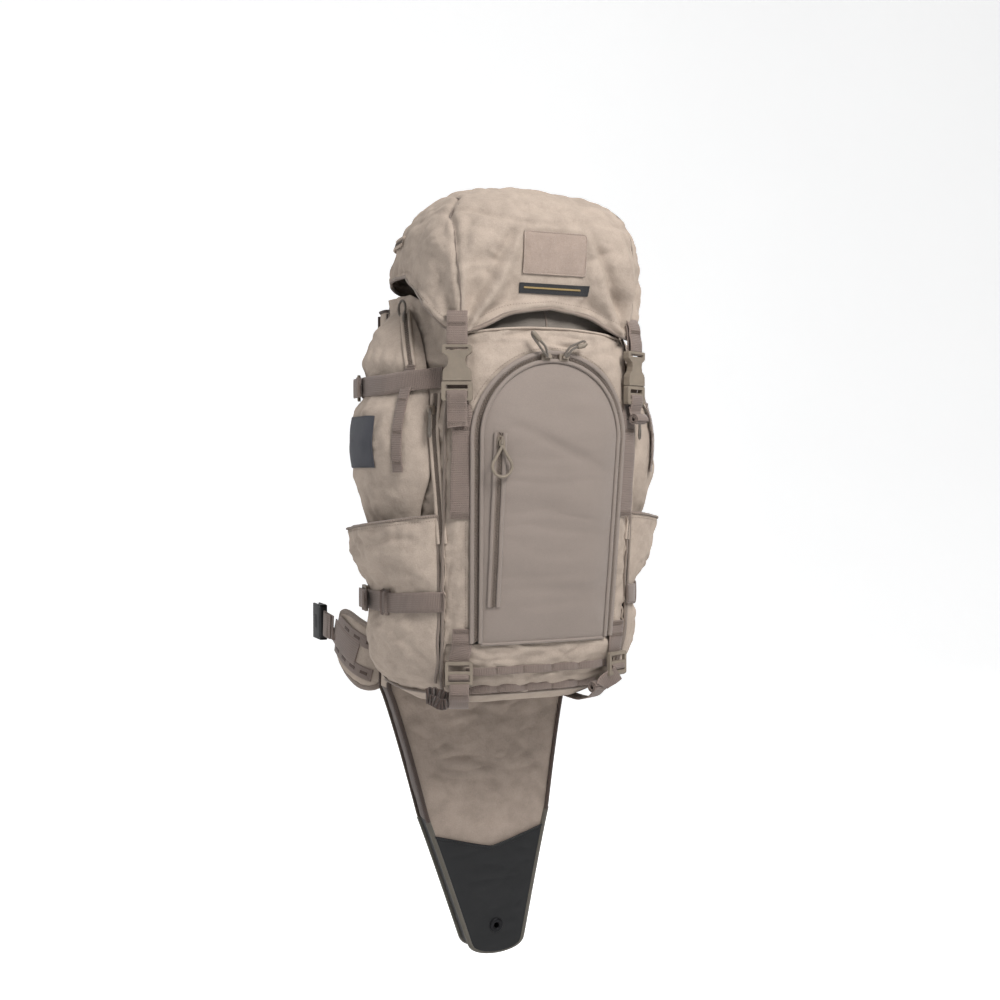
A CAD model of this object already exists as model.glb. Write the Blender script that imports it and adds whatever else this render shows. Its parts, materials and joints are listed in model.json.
"""A backpack with a lid, an arched front door, side pockets, a padded harness and a tapered
scabbard that hangs below it.

The bag's base lies at z = 0 and +Z is up. The door faces -Y, the harness +Y, and "left" is -X.
Lengths are in millimetres; make() turns them into metres.
"""
import json
import math
from itertools import product

import bmesh
import bpy
import numpy as np
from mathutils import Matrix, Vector
from mathutils.bvhtree import BVHTree

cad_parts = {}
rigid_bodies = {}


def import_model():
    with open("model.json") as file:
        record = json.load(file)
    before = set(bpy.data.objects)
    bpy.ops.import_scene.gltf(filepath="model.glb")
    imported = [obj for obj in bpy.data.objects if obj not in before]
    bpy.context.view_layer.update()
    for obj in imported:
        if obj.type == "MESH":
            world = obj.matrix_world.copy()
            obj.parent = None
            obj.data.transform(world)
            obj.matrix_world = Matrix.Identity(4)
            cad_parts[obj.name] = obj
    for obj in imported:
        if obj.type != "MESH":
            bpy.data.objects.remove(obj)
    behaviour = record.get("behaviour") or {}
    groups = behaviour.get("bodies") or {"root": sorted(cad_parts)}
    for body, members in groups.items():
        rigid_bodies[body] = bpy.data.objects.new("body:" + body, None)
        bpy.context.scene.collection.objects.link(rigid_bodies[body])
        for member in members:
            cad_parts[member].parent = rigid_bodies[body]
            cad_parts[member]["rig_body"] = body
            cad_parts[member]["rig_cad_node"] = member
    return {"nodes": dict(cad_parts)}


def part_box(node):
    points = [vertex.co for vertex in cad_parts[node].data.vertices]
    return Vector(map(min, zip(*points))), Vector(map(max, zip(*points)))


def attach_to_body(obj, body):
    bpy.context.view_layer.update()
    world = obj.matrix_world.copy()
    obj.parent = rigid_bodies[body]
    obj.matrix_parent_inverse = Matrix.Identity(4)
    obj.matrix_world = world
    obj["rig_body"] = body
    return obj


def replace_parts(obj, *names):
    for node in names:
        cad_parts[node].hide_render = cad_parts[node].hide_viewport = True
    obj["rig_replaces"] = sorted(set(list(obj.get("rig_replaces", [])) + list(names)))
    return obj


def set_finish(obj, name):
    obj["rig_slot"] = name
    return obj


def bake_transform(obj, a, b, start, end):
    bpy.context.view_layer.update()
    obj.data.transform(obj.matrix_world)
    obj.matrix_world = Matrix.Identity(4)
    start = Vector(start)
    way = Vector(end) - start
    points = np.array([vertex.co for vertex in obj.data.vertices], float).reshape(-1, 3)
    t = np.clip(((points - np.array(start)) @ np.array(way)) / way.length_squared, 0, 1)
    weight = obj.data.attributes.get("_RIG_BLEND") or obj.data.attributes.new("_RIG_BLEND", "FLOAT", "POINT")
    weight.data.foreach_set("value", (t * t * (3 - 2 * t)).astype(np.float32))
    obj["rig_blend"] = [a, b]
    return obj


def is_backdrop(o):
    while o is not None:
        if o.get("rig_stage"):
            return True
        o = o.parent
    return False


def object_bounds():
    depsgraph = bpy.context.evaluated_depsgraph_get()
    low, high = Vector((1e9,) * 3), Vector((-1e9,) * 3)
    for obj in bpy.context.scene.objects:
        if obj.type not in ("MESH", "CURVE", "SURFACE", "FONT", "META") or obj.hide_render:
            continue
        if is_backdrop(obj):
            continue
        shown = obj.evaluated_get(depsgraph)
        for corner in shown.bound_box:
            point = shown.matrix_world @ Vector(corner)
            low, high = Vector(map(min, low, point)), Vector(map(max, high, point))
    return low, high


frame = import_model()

CAD_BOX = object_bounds()
MM = 0.001
SCENE = bpy.context.scene
SIDES = (("left", -1), ("right", 1))
UP = np.array([0, 0, 1.0])
REARWARD = np.array([0, 1.0, 0])
FORWARD = -REARWARD


# ------------------------------------------------------------------ noise and smoothing
PERMUTATION = np.random.RandomState(11).permutation(256)
GRADIENTS = np.random.RandomState(12).normal(size=(256, 3))
GRADIENTS /= np.linalg.norm(GRADIENTS, axis=1)[:, None]


def noise(points, scale, seed=0):
    """Gradient noise, about -1 to 1; scale is the size of a cell in mm."""
    place = np.asarray(points, float) / np.asarray(scale, float) + seed * 17.31
    cell = np.floor(place).astype(int)
    part = place - cell
    fade = part * part * part * (part * (part * 6 - 15) + 10)
    total = np.zeros(place.shape[:-1])
    for corner in product((0, 1), repeat=3):
        key = 0
        for axis, step in enumerate(corner):
            key = PERMUTATION[(key + cell[..., axis] + step) & 255]
        weight = np.where(corner, fade, 1 - fade).prod(-1)
        total += weight * (GRADIENTS[key] * (part - corner)).sum(-1)
    return total * 1.7


def layered_noise(points, scale, seed):
    """Three octaves of noise."""
    scale = np.asarray(scale, float)
    return sum(noise(points, scale / 2 ** k, seed + 3 * k) / 2 ** k for k in range(3)) / 1.75


def wrinkle(points, scale, seed):
    """Cloth creases: rounded hills between narrow valleys, centred on 0."""
    scale = np.asarray(scale, float)
    drift = np.stack([noise(points, scale * 1.6, seed + k) for k in (31, 32, 33)], -1)
    warped = points + drift * scale * 0.45
    fine = noise(points, scale * 0.5, seed + 5)
    return np.abs(noise(warped, scale, seed)) * 2.0 - 0.55 + 0.35 * fine


def smooth_step(start, end, x):
    t = np.clip((x - start) / (end - start), 0, 1)
    return t * t * (3 - 2 * t)


def gauss(x, width):
    return np.exp(-0.5 * (x / width) ** 2)


def blur(values, sigma, axis=0, keep=True):
    """Gaussian smoothing along an axis; keep holds the end points."""
    rows = np.moveaxis(np.asarray(values, float), axis, 0)
    reach = min(int(max(1, round(sigma * 3))), len(rows) - 1)
    kernel = np.exp(-0.5 * (np.arange(-reach, reach + 1) / sigma) ** 2)
    kernel /= kernel.sum()
    before = 2 * rows[0] - rows[1:reach + 1][::-1]
    after = 2 * rows[-1] - rows[-reach - 1:-1][::-1]
    padded = np.concatenate([before, rows, after], 0)
    out = np.zeros_like(rows)
    for k, weight in enumerate(kernel):
        out += weight * padded[k:k + len(rows)]
    if keep:
        out[0], out[-1] = rows[0], rows[-1]
    return np.moveaxis(out, 0, axis)


def blur_grid(grid):
    return blur(blur(grid, 2.0, 0, keep=False), 2.0, 1, keep=False)


# ------------------------------------------------------------------ shader building
def srgb(r, g, b):
    def linear(c):
        c = c / 255
        return c / 12.92 if c <= 0.04045 else ((c + 0.055) / 1.055) ** 2.4
    return (linear(r), linear(g), linear(b), 1.0)


def shade(colour, brightness):
    return tuple(min(1.0, v * brightness) for v in colour[:3]) + (1.0,)


class Shader:
    """A material's node tree, with a short method for each kind of node."""

    def __init__(self, name):
        self.material = bpy.data.materials.new(name)
        self.material.use_nodes = True
        self.tree = self.material.node_tree
        self.coords = self.node("TexCoord").outputs["Object"]

    def node(self, kind, **settings):
        node = self.tree.nodes.new("ShaderNode" + kind)
        for key, value in settings.items():
            setattr(node, key, value)
        return node

    def feed(self, node, inputs):
        """Link or set each input in a dictionary."""
        for key, value in inputs.items():
            if isinstance(value, bpy.types.NodeSocket):
                self.tree.links.new(value, node.inputs[key])
            else:
                node.inputs[key].default_value = value

    def surface(self, inputs):
        self.feed(self.tree.nodes["Principled BSDF"], inputs)
        return self.material

    def tex(self, scale, detail=4.0, rough=0.6, dist=0.0):
        node = self.node("TexNoise")
        self.feed(node, {"Scale": scale, "Detail": detail, "Roughness": rough,
                         "Distortion": dist, "Vector": self.coords})
        return node.outputs["Fac"]

    def voronoi(self, inputs):
        node = self.node("TexVoronoi")
        self.feed(node, {**inputs, "Vector": self.coords})
        return node.outputs["Distance"]

    def ramp(self, fac, stops):
        node = self.node("ValToRGB")
        elements = node.color_ramp.elements
        while len(elements) < len(stops):
            elements.new(0.5)
        for element, (position, colour) in zip(elements, stops):
            element.position = position
            element.color = colour
        self.feed(node, {"Fac": fac})
        return node.outputs["Color"]

    def tones(self, fac, base, *stops):
        """Shades of a base colour; each stop is (position, brightness)."""
        return self.ramp(fac, [(position, shade(base, k)) for position, k in stops])

    def mask(self, fac, black, white):
        return self.ramp(fac, [(black, (0, 0, 0, 1)), (white, (1, 1, 1, 1))])

    def mix(self, a, b, fac):
        node = self.node("Mix", data_type="RGBA")
        self.feed(node, {0: fac, 6: a, 7: b})
        return node.outputs[2]

    def math(self, operation, a, b=0.0):
        node = self.node("Math", operation=operation)
        self.feed(node, {0: a, 1: b})
        return node.outputs[0]

    def add(self, a, b):
        return self.math("ADD", a, b)

    def mul(self, a, b):
        return self.math("MULTIPLY", a, b)

    def one_minus(self, a):
        return self.math("SUBTRACT", 1.0, a)

    def wave(self, value, length):
        return self.math("SINE", self.mul(value, 2 * math.pi / length))

    def axes(self, vector):
        node = self.node("SeparateXYZ")
        self.feed(node, {0: vector})
        return node.outputs

    def bump(self, height, strength, dist, normal=None):
        node = self.node("Bump")
        self.feed(node, {"Strength": strength, "Distance": dist, "Height": height})
        if normal is not None:
            self.feed(node, {"Normal": normal})
        return node.outputs["Normal"]


# ------------------------------------------------------------------ kinds of material
def suede(name, base, mottle=0.26, smudge=0.0):
    t = Shader(name)
    nap = t.tex(scale=900, detail=2)
    broad = t.tones(t.tex(scale=9, rough=0.62, dist=0.4), base,
                    (0.30, 1 - mottle), (0.52, 1), (0.72, 1 + mottle * 0.8))
    medium = t.tones(t.tex(scale=42), base, (0.36, 0.70), (0.52, 1), (0.68, 1.20))
    colour = t.mix(broad, medium, fac=0.50)
    colour = t.mix(colour, t.tones(nap, base, (0.34, 0.72), (0.66, 1.18)), fac=0.34)
    if smudge:
        streaks = t.node("TexWave", bands_direction="DIAGONAL")
        t.feed(streaks, {"Scale": 14, "Distortion": 9, "Detail": 3, "Vector": t.coords})
        patches = t.mask(t.tex(scale=13, detail=2, rough=0.5), black=0.5, white=0.62)
        amount = t.mul(t.mul(streaks.outputs["Fac"], patches), smudge)
        colour = t.mix(colour, shade(base, 0.62), amount)
    grain = t.add(t.mul(nap, 0.6), t.mul(t.tex(scale=320, detail=3), 0.8))
    normal = t.bump(grain, strength=0.5, dist=0.0005)
    normal = t.bump(t.tex(scale=60), strength=0.55, dist=0.0030, normal=normal)
    return t.surface({
        "Base Color": colour, "Roughness": 0.95, "Specular IOR Level": 0.15,
        "Sheen Weight": 0.16, "Sheen Roughness": 0.5, "Sheen Tint": shade(base, 1.8),
        "Normal": normal})


def woven(name, base, pitch=0.0008, rough=0.75, spec=0.3, sheen=0.15, strength=0.6,
          mottle=0.10):
    """Plain weave: crossed waves in object space, pitch in metres."""
    t = Shader(name)
    x, y, z = t.axes(t.coords)
    weave = t.mul(t.wave(t.add(x, y), pitch), t.wave(z, pitch))
    broad = t.tones(t.tex(scale=16), base, (0.32, 1 - mottle), (0.68, 1 + mottle))
    yarn = t.tones(t.tex(scale=700, detail=2, rough=0.5), base, (0.3, 0.86), (0.7, 1.1))
    colour = t.mix(broad, yarn, fac=0.35)
    raised = t.add(t.mul(weave, 0.5), 0.5)
    colour = t.mix(colour, shade(base, 0.74), t.mul(t.one_minus(raised), 0.32))
    normal = t.bump(weave, strength, dist=pitch * 0.3)
    normal = t.bump(t.tex(scale=90, detail=3, rough=0.5), strength=0.2, dist=0.001,
                    normal=normal)
    return t.surface({"Base Color": colour, "Roughness": rough, "Specular IOR Level": spec,
                      "Sheen Weight": sheen, "Normal": normal})


def webbing(name, base, rib=0.0022):
    """Ribbed tape: u runs along the strap in metres, v across it from 0 to 1."""
    t = Shader(name)
    uv_map = t.node("UVMap", uv_map="strap")
    u, v, _ = t.axes(uv_map.outputs[0])
    along = t.wave(u, rib)
    across = t.math("SINE", t.mul(v, 2 * math.pi * 11))
    height = t.add(t.mul(along, 0.6), t.mul(t.mul(along, across), 0.5))
    from_middle = t.math("ABSOLUTE", t.math("SUBTRACT", v, 0.5))
    selvedge = t.mask(from_middle, black=0.41, white=0.46)
    broad = t.tones(t.tex(scale=30), base, (0.3, 0.84), (0.7, 1.12))
    fibre = t.tones(t.tex(scale=800, detail=2), base, (0.3, 0.8), (0.7, 1.15))
    colour = t.mix(broad, fibre, fac=0.35)
    raised = t.add(t.mul(height, 0.3), 0.5)
    colour = t.mix(colour, shade(base, 0.66), t.mul(t.one_minus(raised), 0.5))
    colour = t.mix(colour, shade(base, 1.12), t.mul(selvedge, 0.35))
    return t.surface({"Base Color": colour, "Roughness": 0.7, "Specular IOR Level": 0.3,
                      "Sheen Weight": 0.2,
                      "Normal": t.bump(height, strength=0.75, dist=0.0005)})


def plastic(name, base, rough=0.5):
    """Moulded plastic with paler edges."""
    t = Shader(name)
    bevel = t.node("Bevel", samples=4)
    t.feed(bevel, {"Radius": 0.0008})
    rounded = bevel.outputs[0]
    facing = t.node("VectorMath", operation="DOT_PRODUCT")
    t.feed(facing, {0: rounded, 1: t.node("NewGeometry").outputs["Normal"]})
    edge = t.one_minus(t.math("ABSOLUTE", facing.outputs["Value"]))
    wear = t.mul(t.mask(edge, black=0.01, white=0.12), 0.24)
    broad = t.tones(t.tex(scale=55), base, (0.3, 0.88), (0.7, 1.1))
    grain = t.tex(scale=1500, detail=2, rough=0.5)
    return t.surface({
        "Base Color": t.mix(broad, shade(base, 1.5), wear),
        "Roughness": t.add(rough - 0.06, t.mul(t.tex(scale=120, detail=3), 0.14)),
        "Specular IOR Level": 0.45,
        "Normal": t.bump(grain, strength=0.12, dist=0.00015, normal=rounded)})


def coated(name, base):
    """Coated cloth: a fine pebble with scuffs."""
    t = Shader(name)
    broad = t.tones(t.tex(scale=20, detail=5, rough=0.65), base, (0.3, 0.8), (0.7, 1.25))
    scuffs = t.mask(t.tex(scale=38, detail=6, rough=0.75, dist=1.2), black=0.58, white=0.74)
    normal = t.bump(t.voronoi({"Scale": 900}), strength=0.25, dist=0.0002)
    normal = t.bump(t.tex(scale=45), strength=0.18, dist=0.0015, normal=normal)
    return t.surface({
        "Base Color": t.mix(broad, shade(base, 2.0), t.mul(scuffs, 0.28)),
        "Roughness": t.add(0.38, t.mul(t.tex(scale=26, detail=5, rough=0.7), 0.22)),
        "Specular IOR Level": 0.4, "Normal": normal})


def loop_pile(name, base):
    t = Shader(name)
    loops = t.tex(scale=1400, detail=3, rough=0.8)
    fine = t.tones(loops, base, (0.32, 0.55), (0.5, 1), (0.72, 1.25))
    broad = t.tones(t.tex(scale=60), base, (0.3, 0.8), (0.7, 1.15))
    return t.surface({"Base Color": t.mix(fine, broad, fac=0.4), "Roughness": 0.95,
                      "Sheen Weight": 0.5,
                      "Normal": t.bump(loops, strength=0.9, dist=0.0009)})


def mesh_fabric(name, base, pitch=0.0042):
    """Spacer mesh: rows of small round holes."""
    t = Shader(name)
    cells = t.voronoi({"Scale": 1 / pitch, "Randomness": 0.15})
    solid = t.mask(cells, black=0.20, white=0.36)
    broad = t.tones(t.tex(scale=40, detail=3), base, (0.3, 0.85), (0.7, 1.15))
    return t.surface({"Base Color": t.mix(shade(base, 0.25), broad, solid),
                      "Roughness": 0.9, "Sheen Weight": 0.25,
                      "Normal": t.bump(solid, strength=0.8, dist=0.0008)})


def metal(name, base, rough=0.4, metallic=0.6):
    t = Shader(name)
    grain = t.tex(scale=900, detail=2, rough=0.5)
    return t.surface({
        "Base Color": t.tones(t.tex(scale=160), base, (0.3, 0.85), (0.7, 1.15)),
        "Metallic": metallic,
        "Roughness": t.add(rough - 0.08, t.mul(t.tex(scale=220, detail=3), 0.2)),
        "Normal": t.bump(grain, strength=0.1, dist=0.0001)})


FINISH = {
    "suede": suede("suede_shell", srgb(168, 154, 142)),
    "suede_low": suede("suede_scabbard", srgb(157, 143, 132), smudge=0.5),
    "stretch": woven("stretch_panel", srgb(136, 124, 116), pitch=0.0009, rough=0.62,
                     spec=0.35, sheen=0.25, strength=0.35, mottle=0.05),
    "nylon": woven("collar_nylon", srgb(122, 114, 106), rough=0.6, spec=0.4, strength=0.4),
    "lining": woven("lining_nylon", srgb(104, 98, 92), rough=0.65, spec=0.35, strength=0.4),
    "web": webbing("webbing_tan", srgb(127, 112, 104)),
    "bind": webbing("binding_brown", srgb(78, 63, 56), rib=0.0012),
    "bindtan": webbing("binding_tan", srgb(146, 131, 120), rib=0.0012),
    "rim": webbing("rim_binding", srgb(98, 93, 84), rib=0.0012),
    "boot": coated("boot_coated", srgb(10, 11, 14)),
    "plast": plastic("buckle_plastic", srgb(128, 117, 104)),
    "blackp": plastic("black_plastic", srgb(30, 30, 32), rough=0.42),
    "pile": loop_pile("loop_pile", srgb(158, 140, 128)),
    "zip": webbing("zipper_tape", srgb(134, 120, 110), rib=0.0010),
    "coil": plastic("zipper_coil", srgb(112, 100, 91), rough=0.45),
    "zmetal": metal("zipper_metal", srgb(150, 138, 126)),
    "patch": woven("dark_patch", srgb(62, 63, 70), pitch=0.0010, rough=0.7),
    "label": woven("dark_label", srgb(38, 38, 40), rough=0.6),
    "stripe": woven("label_stripe", srgb(150, 128, 84), rough=0.6),
    "padmesh": mesh_fabric("pad_mesh", srgb(74, 72, 70)),
    "alloy": metal("stay_alloy", srgb(190, 190, 192), rough=0.32, metallic=1.0),
    "hdpe": plastic("frame_hdpe", srgb(42, 42, 44)),
    "eyelet": metal("eyelet_black", srgb(34, 34, 36), rough=0.35, metallic=0.8),
    "cord": webbing("braided_cord", srgb(118, 109, 100), rib=0.0016),
    "thread": woven("thread_tan", srgb(120, 106, 96), pitch=0.0006, rough=0.8),
    "elastic": webbing("elastic_edge", srgb(132, 118, 108), rib=0.0030),
    # two spare finishes, worn by no piece
    "webd": webbing("webbing_dark", srgb(44, 43, 44)),
    "padface": suede("pad_face", srgb(150, 137, 125), mottle=0.16),
}


# ------------------------------------------------------------------ vectors and paths
def unit(vectors):
    vectors = np.asarray(vectors, float)
    return vectors / np.maximum(np.linalg.norm(vectors, axis=-1, keepdims=True), 1e-9)


def arclength(points):
    steps = np.linalg.norm(np.diff(points, axis=0), axis=1)
    return np.concatenate([[0], np.cumsum(steps)])


def interp_rows(at, knots, rows):
    """Linear interpolation between rows that sit at the knots."""
    return np.apply_along_axis(lambda column: np.interp(at, knots, column), 0, rows)


def spread(rows, count):
    return interp_rows(np.linspace(0, 1, count), np.linspace(0, 1, len(rows)), rows)


def resample(path, step, closed=False):
    """Catmull-Rom through the points, then even spacing."""
    path = np.asarray(path, float)
    count = len(path)
    out = []
    for k in range(count if closed else count - 1):
        near = (k - 1, k, k + 1, k + 2)
        if closed:
            a, b, c, d = (path[i % count] for i in near)
        else:
            a, b, c, d = (path[min(max(i, 0), count - 1)] for i in near)
        for t in np.linspace(0, 1, 12, endpoint=False):
            out.append(0.5 * ((2 * b) + (-a + c) * t + (2 * a - 5 * b + 4 * c - d) * t * t
                              + (-a + 3 * b - 3 * c + d) * t ** 3))
    out.append(out[0] if closed else path[-1])
    out = np.array(out)
    length = arclength(out)
    samples = max(3, int(round(length[-1] / step)) + 1)
    even = interp_rows(np.linspace(0, length[-1], samples), length, out)
    return even[:-1] if closed else even


def path_axes(path, normal, closed=False):
    """Tangent, sideways and normal directions; normal is one vector or a row of them."""
    if closed:
        tangent = np.roll(path, -1, 0) - np.roll(path, 1, 0)
    else:
        tangent = np.gradient(path, axis=0)
    tangent = unit(tangent)
    normal = np.asarray(normal, float)
    if normal.ndim == 1:
        normal = np.tile(normal, (len(path), 1))
    if len(normal) != len(path):
        normal = spread(normal, len(path))
    normal = unit(normal - tangent * np.sum(normal * tangent, 1, keepdims=True))
    return tangent, np.cross(tangent, normal), normal


def turn(count):
    return np.linspace(0, 2 * math.pi, count, endpoint=False)


def squircle(angles, power):
    """Cosine and sine pushed out to a rounded square."""
    c, s = np.cos(angles), np.sin(angles)
    radius = (np.abs(c) ** power + np.abs(s) ** power) ** (-1 / power)
    return c * radius, s * radius


def oval(half_width, front, rear, power, z, angles):
    """A level ring, starting at the middle of its front."""
    c, s = squircle(angles, power)
    y = (front + rear) / 2 - (rear - front) / 2 * c
    return np.stack([half_width * s, y, np.broadcast_to(z, angles.shape)], 1)


# ------------------------------------------------------------------ meshes
def make(name, verts, faces, finish, uv=None, smooth=True):
    mesh = bpy.data.meshes.new(name)
    mesh.from_pydata([tuple(v) for v in (np.asarray(verts, float) * MM)], [],
                     [tuple(int(i) for i in f) for f in faces])
    mesh.validate()
    mesh.update()
    if uv is not None:
        layer = mesh.uv_layers.new(name="strap")
        index = np.zeros(len(mesh.loops), int)
        mesh.loops.foreach_get("vertex_index", index)
        layer.data.foreach_set("uv", np.asarray(uv, float)[index].ravel())
    if smooth:
        shade_smooth(mesh)
        mesh.set_sharp_from_angle(angle=math.radians(62))
    obj = bpy.data.objects.new(name, mesh)
    SCENE.collection.objects.link(obj)
    mesh.materials.append(FINISH[finish])
    return obj


def shade_smooth(mesh):
    mesh.polygons.foreach_set("use_smooth", [True] * len(mesh.polygons))


def read_vectors(items, attribute):
    values = np.zeros(len(items) * 3)
    items.foreach_get(attribute, values)
    return values.reshape(-1, 3)


def put(obj, body, slot, *nodes):
    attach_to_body(obj, body)
    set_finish(obj, slot)
    if nodes:
        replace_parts(obj, *nodes)
    return obj


def put_blend(obj, bodies, start, end, slot, *nodes):
    """A piece that bends between two bodies, from start to end (metres)."""
    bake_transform(obj, *bodies, start=start, end=end)
    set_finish(obj, slot)
    if nodes:
        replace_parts(obj, *nodes)


def outward(grid, centre, wrap=False):
    """Unit normals of a grid, on the whole facing away from a centre."""
    if wrap:
        along = np.roll(grid, -1, 1) - np.roll(grid, 1, 1)
    else:
        along = np.gradient(grid, axis=1)
    return face_away(grid, unit(np.cross(along, np.gradient(grid, axis=0))), centre)


def face_away(points, normals, centre):
    signs = np.sign(np.sum(normals * (points - np.asarray(centre, float)), -1))
    return normals if signs.mean() >= 0 else -normals


def inflate(grid, push, centre, wrap=False):
    """Push a grid out along its normals; returns it with its new normals."""
    pushed = grid + outward(grid, centre, wrap) * push[..., None]
    return pushed, outward(pushed, centre, wrap)


def sheet(name, grid, normals, thickness, finish, wrap=False):
    """A closed thick sheet whose outer face is the grid."""
    rows, cols = grid.shape[:2]
    count = rows * cols
    inner = grid - normals * thickness
    verts = np.concatenate([grid.reshape(-1, 3), inner.reshape(-1, 3)])
    spans = cols if wrap else cols - 1
    index = np.arange(count).reshape(rows, cols)
    after = (np.arange(spans) + 1) % cols
    outer = np.stack([index[:-1, :spans], index[:-1, after], index[1:, after],
                      index[1:, :spans]], -1).reshape(-1, 4)
    faces = [outer, outer[:, ::-1] + count]
    for row in (0, rows - 1):
        a, b = index[row, :spans], index[row, after]
        rim = np.stack([a, a + count, b + count, b], -1)
        faces.append(rim if row == 0 else rim[:, ::-1])
    if not wrap:
        for col in (0, cols - 1):
            a, b = index[:-1, col], index[1:, col]
            rim = np.stack([a, b, b + count, a + count], -1)
            faces.append(rim if col == 0 else rim[:, ::-1])
    faces = np.concatenate(faces)
    i, j = rows // 2, cols // 2
    facing = np.cross(grid[i, (j + 1) % cols] - grid[i, j],
                      grid[min(i + 1, rows - 1), j] - grid[i, j])
    if np.dot(facing, normals[i, j]) < 0:
        faces = faces[:, ::-1]
    return make(name, verts, faces, finish)


def sweep(name, path, normal, profile, finish, closed=False):
    """Sweep a closed profile of (across, up) points along a path. Open ends are capped."""
    _, side, up = path_axes(path, normal, closed)
    profile = np.asarray(profile, float)
    rings, around = len(path), len(profile)
    verts = (path[:, None] + side[:, None] * profile[None, :, 0, None]
             + up[:, None] * profile[None, :, 1, None])
    across = (profile[:, 0] - profile[:, 0].min()) / np.ptp(profile[:, 0])
    uv = np.stack([np.repeat(arclength(path) * MM, around), np.tile(across, rings)], 1)
    i = np.arange(rings if closed else rings - 1)
    faces = []
    for j in range(around):
        k = (j + 1) % around
        after = (i + 1) % rings * around
        faces.append(np.stack([i * around + j, i * around + k, after + k, after + j], -1))
    faces = [tuple(f) for f in np.concatenate(faces)]
    if not closed:
        faces.append(tuple(range(around))[::-1])
        faces.append(tuple((rings - 1) * around + k for k in range(around)))
    return make(name, verts.reshape(-1, 3), faces, finish, uv=uv)


def trim(name, path, normal, profile, finish, body, slot, *nodes, closed=False):
    return put(sweep(name, path, normal, profile, finish, closed), body, slot, *nodes)


def flat(width, thickness, crown=0.25):
    """Webbing section: rounded edges, slightly crowned."""
    half, rise = width / 2, thickness / 2
    inset, span = 0.3 * thickness, width - 0.6 * thickness
    top = [(-half + inset + span * k / 6,
            rise + crown * thickness * (1 - (k / 3 - 1) ** 2) * 0.4) for k in range(7)]
    bottom = [(half - inset - span * k / 6, -rise) for k in range(7)]
    right = [(half, rise * 0.35), (half, -rise * 0.35)]
    left = [(-half, -rise * 0.35), (-half, rise * 0.35)]
    return (top + right + bottom + left)[::-1]


def round_bar(across, up, count=10):
    """Oval section, given by its half sizes."""
    angles = [2 * math.pi * k / count for k in range(count)]
    return [(across * math.cos(a), up * math.sin(a)) for a in angles]


def repeat_faces(faces, size, count):
    """Faces of many copies of a small piece that has size vertices."""
    return [tuple(i + size * k for i in f) for k in range(count) for f in faces]


BOX_FACES = ((3, 2, 1, 0), (4, 5, 6, 7), (0, 1, 5, 4), (1, 2, 6, 5), (2, 3, 7, 6), (3, 0, 4, 7))


def small_block(at, side, along, up, low, high, height):
    """Corners of a block; low and high are half sizes (across, along) of its two ends."""
    corners = ((-1, -1), (1, -1), (1, 1), (-1, 1))
    return [at + side * (a * half[0]) + along * (b * half[1]) + up * rise
            for half, rise in ((low, 0), (high, height)) for a, b in corners]


def coil(name, path, normal, body, width, pitch=1.9):
    """Zip coil: small links, alternately left and right."""
    path = resample(path, pitch)
    tangent, side, up = path_axes(path, normal)
    low = (width * 0.40, pitch * 0.36)
    high = (low[0] * 0.7, low[1] * 0.6)
    verts = []
    for k, point in enumerate(path):
        at = point + side[k] * (1 if k % 2 else -1) * width * 0.22
        verts += small_block(at, side[k], tangent[k], up[k], low, high, height=1.3)
    faces = repeat_faces(BOX_FACES, 8, len(path))
    put(make(name, verts, faces, "coil", smooth=False), body, "zipper_tape")


def zip_run(label, path, normals, body, tape, tape_lift, gap, welt, coil_lift, nodes, **links):
    """Zip tape, a welt on each side and the coil. label is a name with a blank for the part."""
    _, side, up = path_axes(path, normals)
    trim(label.format("tape"), path + up * tape_lift, normals, tape, "zip", body,
         "zipper_tape", *nodes)
    for k, offset in enumerate((-gap, gap)):
        trim(label.format(f"welt{k}"), path + side * offset + up * 1.0, normals, welt, "suede",
             body, "shell_fabric")
    coil(label.format("coil"), path + up * coil_lift, normals, body, **links)


def stitches(name, path, normal, body, finish="thread", slot="webbing"):
    """A row of separate stitches, each a small pointed bar."""
    pitch, length, radius, lift = 3.6, 2.4, 0.38, 0.25
    points = ((-1, 0, -0.8), (0, 1, 0), (0, 0, 1), (0, -1, 0), (0, 0, -1), (1, 0, -0.8))
    faces = ((0, 1, 2), (0, 2, 3), (0, 3, 4), (0, 4, 1), (5, 2, 1), (5, 3, 2), (5, 4, 3),
             (5, 1, 4))
    path = resample(path, pitch)
    verts = []
    for point, along, side, up in zip(path, *path_axes(path, normal)):
        verts += [point + up * lift + along * length / 2 * a + (side * b + up * c) * radius
                  for a, b, c in points]
    put(make(name, verts, repeat_faces(faces, 6, len(path)), finish), body, slot)


def tack(name, at, across, normal, body, width=22.0, rows=2, gap=2.4):
    """Bar tack: short dense rows of thread across a strap."""
    across, normal = unit(across), unit(normal)
    along = np.cross(across, normal)
    faces = ((0, 1, 2), (0, 2, 3), (4, 2, 1), (4, 3, 2), (0, 5, 1), (0, 3, 5), (4, 1, 5),
             (4, 5, 3))
    count = int(width / 1.15)
    verts = []
    for row in range(rows):
        for k in range(count):
            c = (at + across * (-width / 2 + width * (k + 0.5) / count)
                 + along * (row - (rows - 1) / 2) * gap + normal * 0.2)
            slant = along + across * (0.25 if k % 2 else -0.25)
            verts += [c - slant, c + across * 0.42, c + normal * 0.5, c - across * 0.42,
                      c + slant, c - normal * 0.4]
    faces = repeat_faces(faces, 6, rows * count)
    put(make(name, verts, faces, "thread", smooth=False), body, "webbing")


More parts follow.
